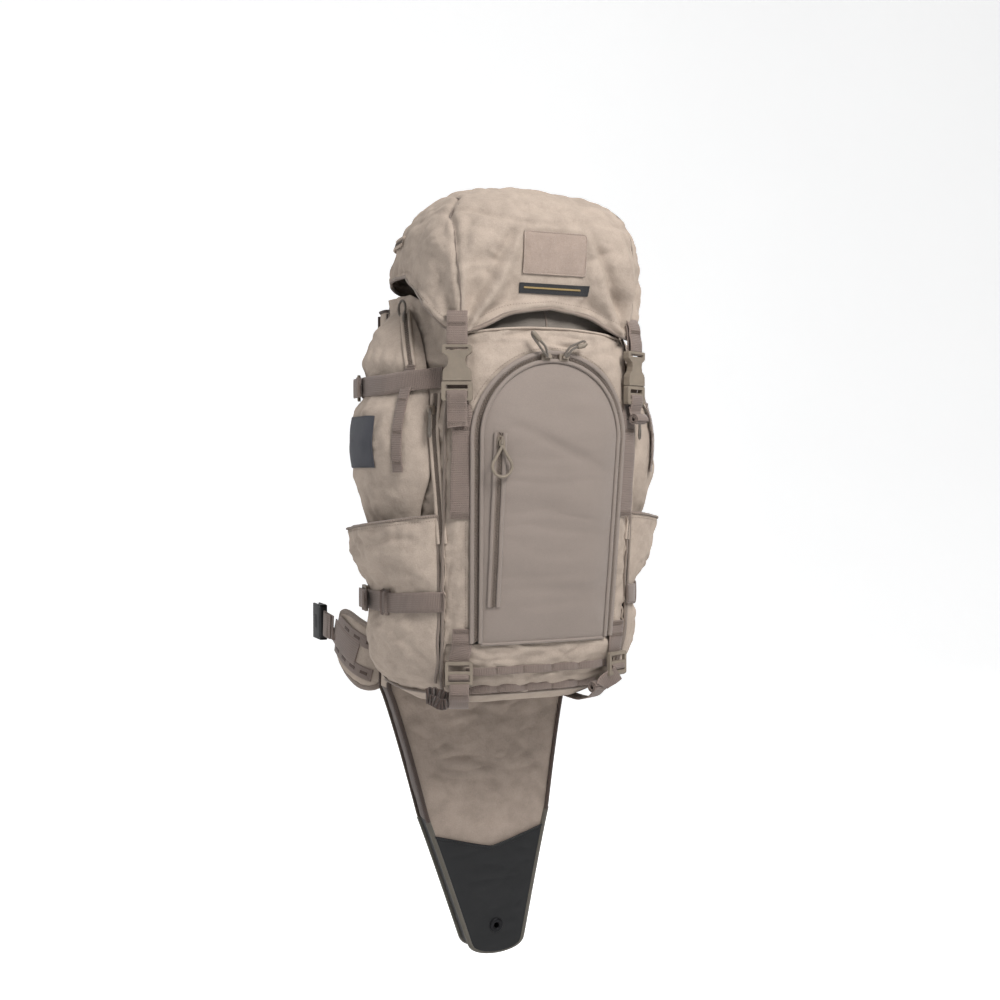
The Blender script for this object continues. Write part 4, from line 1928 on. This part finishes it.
def boot():
    body = "scabbard_tip"
    grid, normals = tapered(-44.2, boot_top, boot_bottom, 2.4, 2.0, -1, 90, 70, 150, fold=0.22)
    front = sheet("boot_front_cloth", grid, normals, 2.2, "boot")
    put(front, body, "boot_fabric", "scabbard_boot")
    boot_eyelet(front)
    trim("boot_top_binding", resample((grid[0] + normals[0] * 0.4)[::3], 3), FORWARD,
         round_bar(1.6, 1.5), "boot", body, "boot_fabric")
    stitches("boot_top_stitch", (grid[3] + normals[3] * 0.1)[::2], normals[3][::2], body,
             finish="boot", slot="boot_fabric")
    rear = tapered(-8.6, level(-187.0), boot_bottom, 2.4, 1.2, 1, 90, 70, 152, fold=0.5)
    put(sheet("boot_rear_cloth", *rear, 2.2, "boot"), body, "boot_fabric", "scabbard_boot")
    # the band round the boot's sides and end, then a rim on each edge
    z = np.linspace(-187, TAPER_END, 60)
    angle = np.linspace(0, math.pi, 26)[1:-1]
    end_z = TAPER_END - 15.5 * np.sin(angle)
    end_x = lean(half_width(TAPER_END) * np.cos(angle), end_z)
    path_x = np.concatenate([lean(half_width(z), z), end_x,
                             lean(-half_width(z[::-1]), z[::-1])])
    path_z = np.concatenate([z, end_z, z[::-1]])
    path = blur(np.stack([path_x, np.full(len(path_x), -25.5), path_z], 1), 1.5)
    path = resample(path[::2], 4)
    tangent = np.gradient(path, axis=0)
    out = unit(np.stack([tangent[:, 2], np.zeros(len(path)), -tangent[:, 0]], 1))
    out = face_away(path, out, (path[:, 0].mean(), -25.5, -270))
    trim("boot_gusset", path - out * 1.2, out, flat(33, 2.0), "boot", body, "boot_fabric")
    for name, y, facing in (("front", -42.2, FORWARD), ("rear", -9.0, REARWARD)):
        rim = path.copy()
        rim[:, 1] = y
        trim(f"boot_rim_{name}", rim, facing, round_bar(3.9, 2.7), "rim", body, "rim_binding",
             "scabbard_boot_rim")


sleeve()
scabbard_panel("scabbard_front_cloth", -41.6, -1, lambda u: boot_top(u) - 8, 130, crown=3.0)
scabbard_panel("scabbard_rear_cloth", -9.4, 1, level(-194.0), 134, crown=1.6)
for side, sign in SIDES:
    scabbard_gusset(side, sign)
boot()


# ------------------------------------------------------------------ pads
def puff(obj, voxel, cap):
    """Blow a closed pad up a little with cloth, moving no point by more than cap mm."""
    last_frame = 20
    remesh = obj.modifiers.new("remesh", "REMESH")
    remesh.mode = "VOXEL"
    remesh.voxel_size = voxel * MM
    mesh = evaluated_mesh(obj)
    finishes = list(obj.data.materials)
    obj.data = mesh
    mesh.materials.clear()
    for material in finishes:
        mesh.materials.append(material)
    rest = read_vectors(mesh.vertices, "co")
    cloth = obj.modifiers.new("cloth", "CLOTH")
    settings = cloth.settings
    settings.quality = 4
    settings.mass = 0.3
    settings.tension_stiffness = 15
    settings.compression_stiffness = 15
    settings.shear_stiffness = 5
    settings.bending_stiffness = 0.5
    settings.use_pressure = True
    settings.uniform_pressure_force = 4.0
    settings.effector_weights.gravity = 0
    cloth.point_cache.frame_start = 1
    cloth.point_cache.frame_end = last_frame + 1
    for k in range(1, last_frame + 1):
        SCENE.frame_set(k)
    evaluated = obj.evaluated_get(bpy.context.evaluated_depsgraph_get())
    move = read_vectors(evaluated.data.vertices, "co") - rest
    obj.modifiers.clear()
    SCENE.frame_set(1)
    length = np.linalg.norm(move, axis=1)
    share = np.minimum(1.0, cap * MM / np.maximum(length, 1e-9))
    mesh.vertices.foreach_set("co", (rest + move * share[:, None]).ravel())
    mesh.update()
    shade_smooth(mesh)
    subdivide = obj.modifiers.new("sub", "SUBSURF")
    subdivide.levels = 1
    subdivide.render_levels = 1
    obj.data = evaluated_mesh(obj)
    shade_smooth(obj.data)


def evaluated_mesh(obj):
    """The mesh with its modifiers applied; the modifiers are then removed."""
    depsgraph = bpy.context.evaluated_depsgraph_get()
    mesh = bpy.data.meshes.new_from_object(obj.evaluated_get(depsgraph))
    obj.modifiers.clear()
    return mesh


def closed_tube(name, verts, rings, around, finish):
    """A capped tube from rings of vertices."""
    faces = []
    for i in range(rings - 1):
        for j in range(around):
            a, b = i * around + j, i * around + (j + 1) % around
            faces.append((a, b, b + around, a + around))
    faces.append(tuple(range(around))[::-1])
    faces.append(tuple((rings - 1) * around + j for j in range(around)))
    obj = make(name, verts, faces, finish)
    edit_mesh(obj, recalc_normals)
    return obj


# share of the half size, share of the height: over the dome and back under it
PILLOW = [(0.02, 1.0), (0.25, 0.995), (0.5, 0.975), (0.7, 0.935), (0.84, 0.86), (0.93, 0.74),
          (0.985, 0.56), (1.0, 0.36), (0.99, 0.16), (0.965, 0.04), (0.93, 0.0), (0.6, 0.0),
          (0.3, 0.0), (0.02, 0.0)]
PAD_REAR_Y = 0.8        # the flat face, against the sleeve


def body_pad(name, node, x_range, z_range, face_y, cap, channels, seed):
    """A rounded block domed towards +Y, with sewn channels.

    channels is (axis, positions, depth, width).
    """
    middle_x, middle_z = sum(x_range) / 2, sum(z_range) / 2
    half_x, half_z = (x_range[1] - x_range[0]) / 2, (z_range[1] - z_range[0]) / 2
    round_x, round_z = squircle(turn(96), 6.0)
    verts = [(middle_x + half_x * share * a, PAD_REAR_Y + (face_y - PAD_REAR_Y) * height,
              middle_z + half_z * share * b)
             for share, height in PILLOW for a, b in zip(round_x, round_z)]
    obj = closed_tube(name, verts, len(PILLOW), 96, "padmesh")
    puff(obj, 5.0, cap)
    mesh = obj.data
    points = read_vectors(mesh.vertices, "co")
    normals = read_vectors(mesh.vertex_normals, "vector")
    place = points / MM
    axis, positions, depth, width = channels
    push = -depth * sum(gauss(place[:, axis] - at, width) for at in positions)
    push = (push + 0.8 * noise(place, (40, 40, 40), seed)) * (place[:, 1] > 6)
    mesh.vertices.foreach_set("co", (points + normals * push[:, None] * MM).ravel())
    mesh.update()
    put(obj, "pack", "harness_fabric", node)


def pad_binding(name, middle, half, y, count, profile):
    """Binding round a pad, 1 mm outside it; middle and half are (x, z)."""
    a, b = squircle(turn(count), 6)
    path = np.stack([middle[0] + (half[0] + 1) * a, np.full(count, y),
                     middle[1] + (half[1] + 1) * b], 1)
    trim(name, resample(path, 4, closed=True), REARWARD, round_bar(*profile), "bindtan",
         "pack", "harness_fabric", closed=True)


for side, sign in SIDES:
    body_pad(f"back_pad_{side}", "back_pads", sorted((sign * 23.5, sign * 106.5)), (217, 430),
             17.5, 4.0, (2, (290, 358), 2.6, 3.0), 160)
    pad_binding(f"back_pad_binding_{side}", (sign * 65.0, 323.5), (41.5, 106.5), 4.2, 80,
                (2.6, 2.4))
body_pad("lumbar_pad_cloth", "lumbar_pad", (-102, 102), (64, 194), 23.5, 5.0,
         (0, (42, -42), 2.8, 3.2), 161)
pad_binding("lumbar_binding", (0, 129), (102, 65), 4.4, 100, (2.8, 2.6))


def foam_strip(name, path, widths, thicknesses, across, cloth_side):
    """A long foam pad: cloth on the side towards cloth_side, mesh on the other.

    Returns the object, its path, across and outward directions, widths and thicknesses.
    """
    path = resample(path, 5.0)
    count, around = len(path), 22
    share = np.linspace(0, 1, count)
    width, thick = (blur(np.interp(share, np.linspace(0, 1, len(sizes)), sizes), 3)
                    for sizes in (widths, thicknesses))
    # both ends are narrowed
    width_scale = 1 - 0.45 * (np.exp(-share * count / 2.2) + np.exp(-(1 - share) * count / 2.2))
    width = width * width_scale
    tangent = unit(np.gradient(path, axis=0))
    across = np.asarray(across, float)
    across = unit(across - tangent * np.sum(across * tangent, 1, keepdims=True))
    normal = np.cross(tangent, across)
    a, b = squircle(turn(around), 3.6)
    verts = (path[:, None] + across[:, None] * (width[:, None] / 2 * a)[..., None]
             + normal[:, None] * (thick[:, None] / 2 * b)[..., None])
    obj = closed_tube(name, verts.reshape(-1, 3), count, around, "suede")
    puff(obj, 4.5, 3.5)
    mesh = obj.data
    mesh.materials.append(FINISH["padmesh"])
    if np.dot(normal[count // 2], cloth_side) <= 0:
        normal = -normal
    centres = read_vectors(mesh.polygons, "center") / MM
    nearest = ((centres[:, None, :] - path[None, :, :]) ** 2).sum(-1).argmin(1)
    facing = np.sum(read_vectors(mesh.polygons, "normal") * normal[nearest], 1)
    mesh.polygons.foreach_set("material_index", (facing < -0.35).astype(int))
    return obj, path, across, normal, width, thick


# ------------------------------------------------------------------ shoulder straps
SHOULDER = [(66, 9.5, 452), (66, 22, 474), (67, 44, 484), (69, 68, 476), (72, 86, 446),
            (76, 93, 400), (83, 95, 320), (90, 86, 250), (95, 72, 205)]
SHOULDER_WIDTHS = [47, 49, 51, 57, 59, 59, 55, 49, 42]
SHOULDER_THICK = [6, 9.5, 10.5, 10.5, 10.5, 10.5, 10.5, 9.5, 7]
HARNESS_LOWER = [(97.5, 64, 184), (99, 60, 176), (101, 54.0, 168), (112, 32, 146),
                 (119, 10, 124), (120, 2.4, 108)]
LOAD_LIFTER = [(66, 56, 490.0), (66, 50, 493.0), (65.5, 28, 497.0), (65, 3.0, 500.0)]


def mirrored(points, sign):
    """Points written for the right side, on the side given by sign."""
    return np.array(points, float) * (sign, 1, 1)


def shoulder(side, sign):
    body = f"shoulder_{side}"
    obj, path, across, out, width, thick = foam_strip(
        f"shoulder_pad_cloth_{side}", mirrored(SHOULDER, sign), SHOULDER_WIDTHS,
        SHOULDER_THICK, (1, 0, sign * 0.12), (0, 1, 0.3))
    put(obj, body, "harness_fabric", f"shoulder_pad_{side}")
    for k, edge in enumerate((-1, 1)):
        line = path + across * (width[:, None] / 2 * edge)
        trim(f"shoulder_binding_{side}_{k}", resample(line[1:-1], 4), (0, 1.0, 0.2),
             round_bar(2.7, 3.2), "bindtan", body, "harness_fabric")
    line = path + out * (thick[:, None] / 2 + 3.0)
    start, end = int(len(path) * 0.34), int(len(path) * 0.96)
    strap(f"shoulder_daisy_{side}", line[start:end:2], out[start:end:2], body, width=19,
          thick=1.5)
    for j, i in enumerate(range(start + 2, end - 1, 8)):
        tack(f"shoulder_tack_{side}_{j}", line[i] + out[i] * 0.9, across[i], out[i], body,
             width=17)
    lower = sweep(f"harness_lower_{side}", resample(mirrored(HARNESS_LOWER, sign), 3.5),
                  (0.2 * sign, 0.62, -0.75), flat(20, 1.5), "web")
    put_blend(lower, ("pack", body), (sign * 0.119, 0.006, 0.118), (sign * 0.099, 0.060, 0.176),
              "webbing", "harness_webbing")
    lifter = sweep(f"load_lifter_{side}", resample(mirrored(LOAD_LIFTER, sign), 3.0),
                   (0, 0.1, 1), flat(19, 1.5), "web")
    put_blend(lifter, ("pack", body), (sign * 0.065, 0.006, 0.500),
              (sign * 0.066, 0.046, 0.493), "webbing", "harness_webbing")


# ------------------------------------------------------------------ hip belt wings
HIP = [(117, 10.0, 24), (128, 16, 26), (141, 32, 32), (150, 56, 42), (155, 84, 54),
       (157, 112, 64)]
HIP_WIDTHS = [86, 88, 87, 85, 82, 74]
HIP_THICK = [6, 9, 11, 11, 10, 6.5]


def hip_wing(side, sign):
    body = f"hip_wing_{side}"
    obj, path, across, out, width, thick = foam_strip(
        f"hip_wing_cloth_{side}", mirrored(HIP, sign), HIP_WIDTHS, HIP_THICK, (0, 0.15, 1),
        (sign, -0.3, 0))
    put(obj, body, "harness_fabric", f"hip_wing_{side}")
    for k, edge in enumerate((-1, 1)):
        line = path + across * ((width[:, None] / 2 - 1.6) * edge)
        trim(f"hip_binding_{side}_{k}", resample(line[1:-1], 4), (sign, 0, 0),
             round_bar(4.4, 3.6), "bindtan", body, "harness_fabric")
    for k, offset in enumerate((22.0, -20.0)):
        line = path + across * offset + out * (thick[:, None] / 2 + 3.2)
        line = resample(line[3:-3], 3.5)
        normals = spread(out[3:-3], len(line))
        strap(f"hip_gear_row_{side}_{k}", line, normals, body, width=17, thick=1.4)
        hip_slots(f"hip_slots_{side}_{k}", line, normals, body)
    line = path + out * (thick[:, None] / 2 + 3.6)
    start = int(len(path) * 0.35)
    strap(f"hip_strap_{side}", np.concatenate([line[start::2], [(sign * 167.5, 106, 66.0)]]),
          np.concatenate([out[start::2], [(sign, 0, 0)]]), body, width=36, thick=1.8)


def hip_slots(name, line, normals, body):
    """Dark slots along a row of webbing."""
    verts = []
    places = range(4, len(line) - 3, 7)
    for j in places:
        along = unit(line[j + 1] - line[j - 1])
        verts += small_block(line[j] + normals[j] * 0.75, along, np.cross(normals[j], along),
                             normals[j], (6.48, 2.2), (5.94, 1.7), height=0.7)
    faces = repeat_faces(BOX_FACES, 8, len(places))
    put(make(name, verts, faces, "bind", smooth=False), body, "label_fabric")


for side, sign in SIDES:
    shoulder(side, sign)
for side, sign in SIDES:
    hip_wing(side, sign)


# ------------------------------------------------------------------ sternum and hip buckles
def rounded_box(x0, x1, y0, y1, z0, z1, radius):
    bm = bmesh.new()
    bmesh.ops.create_cube(bm, size=1.0)
    for v in bm.verts:
        v.co = Vector(((x0 + x1) / 2 + v.co.x * (x1 - x0), (y0 + y1) / 2 + v.co.y * (y1 - y0),
                       (z0 + z1) / 2 + v.co.z * (z1 - z0))) * MM
    bmesh.ops.bevel(bm, geom=list(bm.edges), offset=radius * MM, segments=3, profile=0.6,
                    affect="EDGES")
    mesh = bpy.data.meshes.new("block")
    bm.to_mesh(mesh)
    bm.free()
    shade_smooth(mesh)
    mesh.set_sharp_from_angle(angle=math.radians(40))
    obj = bpy.data.objects.new("block", mesh)
    SCENE.collection.objects.link(obj)
    return obj


def join(objects, name):
    for obj in bpy.context.selected_objects:
        obj.select_set(False)
    for obj in objects:
        obj.select_set(True)
    bpy.context.view_layer.objects.active = objects[0]
    bpy.ops.object.join()
    obj = bpy.context.view_layer.objects.active
    obj.name = name
    obj.data.name = name
    return obj


def moulded(name, boxes, finish, body, slot):
    obj = join([rounded_box(*box) for box in boxes], name)
    obj.data.materials.append(FINISH[finish])
    put(obj, body, slot)


# boxes of the moulded parts: x, y and z from and to, edge radius.
# The sternum ones are written for the left side.
STERNUM_ENDS = [
    (-101, -98.4, 92, 106, 352.5, 371.5, 0.9), (-99, -90, 100.6, 103.4, 351.5, 354.5, 0.9),
    (-99, -90, 100.6, 103.4, 369.5, 372.5, 0.9)]
STERNUM_BUCKLE = {
    "left": [
        (-41, -37.5, 102.5, 109.5, 350, 374, 1.4), (-32, -27, 102.5, 109.5, 350, 374, 1.6),
        (-40, -28, 102.5, 109.5, 350, 353.2, 1.3), (-40, -28, 102.5, 109.5, 370.8, 374, 1.3),
        (-29, -14, 104.2, 107.8, 359.2, 364.8, 1.2),
        (-29, -16, 104.2, 107.8, 352.8, 355.8, 1.1),
        (-29, -16, 104.2, 107.8, 368.2, 371.2, 1.1)],
    "right": [
        (-41, -37.5, 101.5, 110.5, 350, 374, 1.4), (-34, -12, 101.0, 103.6, 350, 374, 1.1),
        (-34, -12, 108.4, 111.0, 350, 374, 1.1), (-40, -30, 101.0, 111.0, 350, 353.2, 1.4),
        (-40, -30, 101.0, 111.0, 370.8, 374, 1.4), (-32, -13, 101.2, 110.8, 360.4, 363.6, 1.0),
        (-34, -29, 101, 111, 350.4, 373.6, 1.2)]}
HIP_BUCKLE = {
    "left": [
        (-176, -173.3, 147, 180, 44, 96, 1.3), (-167.7, -165, 147, 180, 44, 96, 1.3),
        (-176, -165, 141, 145, 44, 96, 1.8), (-176, -165, 141, 158, 44, 48.5, 1.8),
        (-176, -165, 141, 158, 91.5, 96, 1.8), (-175.4, -165.6, 150, 158, 44.5, 95.5, 1.6),
        (-175.6, -165.4, 158, 179.4, 66.5, 73.5, 1.2), (-176.6, -175.2, 162, 174, 60, 80, 0.6)],
    "right": [
        (166.5, 174.5, 141, 144.5, 46, 94, 1.7), (166.5, 174.5, 152.5, 158, 46, 94, 1.8),
        (166.5, 174.5, 141, 158, 46, 50, 1.6), (166.5, 174.5, 141, 158, 90, 94, 1.6),
        (168.5, 172.5, 156, 178, 65.5, 74.5, 1.4), (168.5, 172.5, 156, 176, 50.5, 56.5, 1.3),
        (168.5, 172.5, 156, 176, 83.5, 89.5, 1.3)]}


def sternum_half(side, sign):
    body = f"sternum_{side}"
    web = [(95, 101.8, 362), (80, 103.2, 362), (66, 104.2, 362), (50, 105.4, 362),
           (41, 106.0, 362)]
    fold = [(42, 106.4, 362), (50, 108.2, 362), (62, 107.8, 362), (70, 106.4, 362)]
    strap(f"sternum_web_{side}", mirrored(web, sign), REARWARD, body, width=18, thick=1.4,
          nodes=[f"sternum_half_{side}"], step=2.5)
    strap(f"sternum_fold_{side}", mirrored(fold, sign), REARWARD, body, width=17.6, thick=1.3,
          step=2.5)
    tack(f"sternum_tack_{side}", (sign * 64, 108.0, 362.0), UP, REARWARD, body, width=15)
    boxes = STERNUM_ENDS + STERNUM_BUCKLE[side]
    if sign > 0:
        boxes = [(-x1, -x0, *rest) for x0, x1, *rest in boxes]
    moulded(f"sternum_buckle_{side}", boxes, "plast", body, "moulded_plastic")


def hip_buckle(side, sign):
    body = f"hip_buckle_{side}"
    out = (sign, 0, 0)
    web = [(167.5, 104, 66), (168.6, 116, 67.4), (169.4, 128, 68.6), (170, 143, 70)]
    fold = [(170.2, 141, 70), (173.0, 132, 69), (172.6, 118, 67.6), (170.2, 108, 66.4)]
    strap(f"hip_buckle_web_{side}", mirrored(web, sign), out, body, width=36, thick=1.8,
          nodes=[f"hip_buckle_{side}"], step=2.5)
    strap(f"hip_buckle_fold_{side}", mirrored(fold, sign), out, body, width=35.4, thick=1.5,
          step=2.5)
    tack(f"hip_buckle_tack_{side}", (sign * 173.0, 117, 67.5), UP, out, body, width=32, rows=3)
    moulded(f"hip_buckle_body_{side}", HIP_BUCKLE[side], "blackp", body, "black_plastic")


for side, sign in SIDES:
    sternum_half(side, sign)
    hip_buckle(side, sign)

# ------------------------------------------------------------------ haul handle, lid hinges
HANDLE = [(-26, 3.4, 501), (-26, 3.4, 499), (-26, 4.0, 482), (-21, 4.8, 467), (-9, 5.4, 459),
          (9, 5.4, 459), (21, 4.8, 467), (26, 4.0, 482), (26, 3.4, 499), (26, 3.4, 501)]
HANDLE_GRIP = [(-15, 5.2, 462.2), (-9, 5.5, 459.2), (0, 5.6, 458.4), (9, 5.5, 459.2),
               (15, 5.2, 462.2)]
# y, z down a hinge strip
HINGE = [(-36.8, 560), (-37.4, 548), (-37.6, 534), (-40.5, 522), (-44.4, 514), (-45.2, 500)]

strap("haul_handle_web", HANDLE, REARWARD, "haul_handle", width=15.6, thick=2.8,
      nodes=["haul_handle"])
trim("haul_handle_grip", resample(HANDLE_GRIP, 2.5), REARWARD, round_bar(8.4, 3.6, 16),
     "bindtan", "haul_handle", "webbing")
for side, sign in SIDES:
    tack(f"haul_tack_{side}", (sign * 26.0, 5.2, 495.0), (1, 0, 0), REARWARD, "haul_handle",
         width=13, rows=3)
    hinge = sweep(f"lid_hinge_strip_{side}", resample([(sign * 80, y, z) for y, z in HINGE], 3.0),
                  REARWARD, flat(38, 1.2), "web")
    put_blend(hinge, ("pack", "lid"), (0, -0.042, 0.517), (0, -0.0378, 0.538), "webbing",
              "lid_webbing")


# ------------------------------------------------------------------ joining small trim
def join_trim():
    """Small trim of one material, on one body and in one slot, becomes one piece."""
    groups = {}
    for obj in [x for x in SCENE.objects if x.type == "MESH"]:
        own = any(key in obj for key in ("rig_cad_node", "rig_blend", "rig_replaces"))
        if own or "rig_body" not in obj or len(obj.data.materials) != 1:
            continue
        key = (obj["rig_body"], obj.get("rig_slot", ""), obj.data.materials[0].name)
        groups.setdefault(key, []).append(obj)
    for (body, slot, material), objects in sorted(groups.items()):
        if len(objects) < 2:
            continue
        objects.sort(key=lambda x: x.name)
        for obj in objects:
            obj.parent = None
            obj.matrix_world.identity()
        put(join(objects, f"{body}_{material}_trim"), body, slot)


join_trim()

# ------------------------------------------------------------------ finishes of CAD pieces
CAD_FINISHES = {
    "hdpe": ["frame_sheet"],
    "alloy": ["frame_stays"],
    "eyelet": ["tip_grommet"],
    "plast": ["cord_lock", "cord_lock_button", "compression_adjusters",
              "bottom_adjuster_left", "bottom_adjuster_right", "lid_buckle_female",
              "lid_buckle_male_left", "lid_buckle_male_right", "shoulder_adjuster_left",
              "shoulder_adjuster_right", "pocket_zip_pull"],
    "zmetal": ["pocket_zip_slider", "arch_zip_slider_left", "arch_zip_slider_right",
               "side_zip_slider_left", "side_zip_slider_right", "lid_zip_slider"],
}
for finish, names in CAD_FINISHES.items():
    for name in names:
        materials = frame["nodes"][name].data.materials
        materials.clear()
        materials.append(FINISH[finish])


# ------------------------------------------------------------------ studio (metres)
def area(name, place, aim, size, power, color=(1, 1, 1)):
    light = bpy.data.lights.new(name, "AREA")
    light.shape = "RECTANGLE"
    light.size, light.size_y = size
    light.energy = power
    light.color = color
    obj = bpy.data.objects.new(name, light)
    SCENE.collection.objects.link(obj)
    obj.location = place
    obj.rotation_euler = (Vector(aim) - Vector(place)).to_track_quat("-Z", "Y").to_euler()


def studio_world():
    """Stronger light from above than from below; seen directly it is nearly white."""
    world = bpy.data.worlds.new("studio")
    SCENE.world = world
    world.use_nodes = True
    nodes, link = world.node_tree.nodes, world.node_tree.links.new
    ambient = nodes["Background"]
    ambient.inputs["Color"].default_value = (0.95, 0.96, 0.97, 1)
    coords = nodes.new("ShaderNodeTexCoord")
    axes = nodes.new("ShaderNodeSeparateXYZ")
    strength = nodes.new("ShaderNodeMapRange")
    for name, value in (("From Min", -0.6), ("From Max", 0.8), ("To Min", 0.12),
                        ("To Max", 0.5)):
        strength.inputs[name].default_value = value
    link(coords.outputs["Generated"], axes.inputs[0])
    link(axes.outputs["Z"], strength.inputs["Value"])
    link(strength.outputs["Result"], ambient.inputs["Strength"])
    white = nodes.new("ShaderNodeBackground")
    white.inputs["Color"].default_value = (0.985, 0.985, 0.985, 1)
    mix = nodes.new("ShaderNodeMixShader")
    link(nodes.new("ShaderNodeLightPath").outputs["Is Camera Ray"], mix.inputs[0])
    link(ambient.outputs[0], mix.inputs[1])
    link(white.outputs[0], mix.inputs[2])
    link(mix.outputs[0], nodes["World Output"].inputs["Surface"])


def studio_floor():
    """Pale floor that curves up into a backdrop; it glows a little to the camera."""
    floor_z = -452.0        # mm
    bend = 1.8
    profile = [(-6.0, 0.0), (2.0, 0.0)]
    profile += [(2.0 + bend * math.sin(a), bend - bend * math.cos(a))
                for a in np.linspace(0, math.pi / 2, 14)[1:]]
    profile.append((3.8, 6.0))
    verts = [(x / MM, y / MM, z / MM + floor_z) for y, z in profile
             for x in np.linspace(-7, 7, 9)]
    faces = []
    for i in range(len(profile) - 1):
        for j in range(8):
            a = i * 9 + j
            faces.append((a, a + 1, a + 10, a + 9))
    t = Shader("studio_floor")
    tone = t.ramp(t.tex(scale=0.8, detail=2, rough=0.5),
                  [(0.3, (0.86, 0.86, 0.86, 1)), (0.7, (0.89, 0.89, 0.89, 1))])
    glow = t.mul(t.node("LightPath").outputs["Is Camera Ray"], 0.55)
    FINISH["floor"] = t.surface({"Base Color": tone, "Roughness": 0.85,
                                 "Emission Color": (1, 1, 1, 1), "Emission Strength": glow})
    make("studio_floor", verts, faces, "floor")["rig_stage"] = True


def camera():
    data = bpy.data.cameras.new("camera")
    data.lens = 46.8
    data.sensor_width = 36.0
    obj = bpy.data.objects.new("camera", data)
    SCENE.collection.objects.link(obj)
    turned, tilt = math.radians(24), math.radians(1.5)
    obj.location = (-0.7092, -1.7057, 0.300)
    view = Vector((math.sin(turned) * math.cos(tilt), math.cos(turned) * math.cos(tilt),
                   -math.sin(tilt)))
    obj.rotation_euler = view.to_track_quat("-Z", "Y").to_euler()
    SCENE.camera = obj


area("key", (0.30, -1.75, 1.7), aim=(0, -0.15, 0.3), size=(0.9, 0.9), power=50,
     color=(1.0, 0.99, 0.975))
area("fill", (-1.9, -1.2, 0.5), aim=(0, -0.12, 0.15), size=(1.6, 1.6), power=4.5,
     color=(0.97, 0.98, 1.0))
area("rim_left", (-1.3, 0.9, 0.9), aim=(-0.1, -0.1, 0.2), size=(0.8, 1.4), power=9)
area("rim_right", (1.3, 0.7, 0.9), aim=(0.1, -0.1, 0.2), size=(0.8, 1.4), power=12)
SCENE.view_settings.view_transform = "Standard"
studio_world()
studio_floor()
camera()

box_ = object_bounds()
as_list = lambda b: [[float(c) for c in p] for p in b]
{"cad": as_list(CAD_BOX), "visual": as_list(box_)}
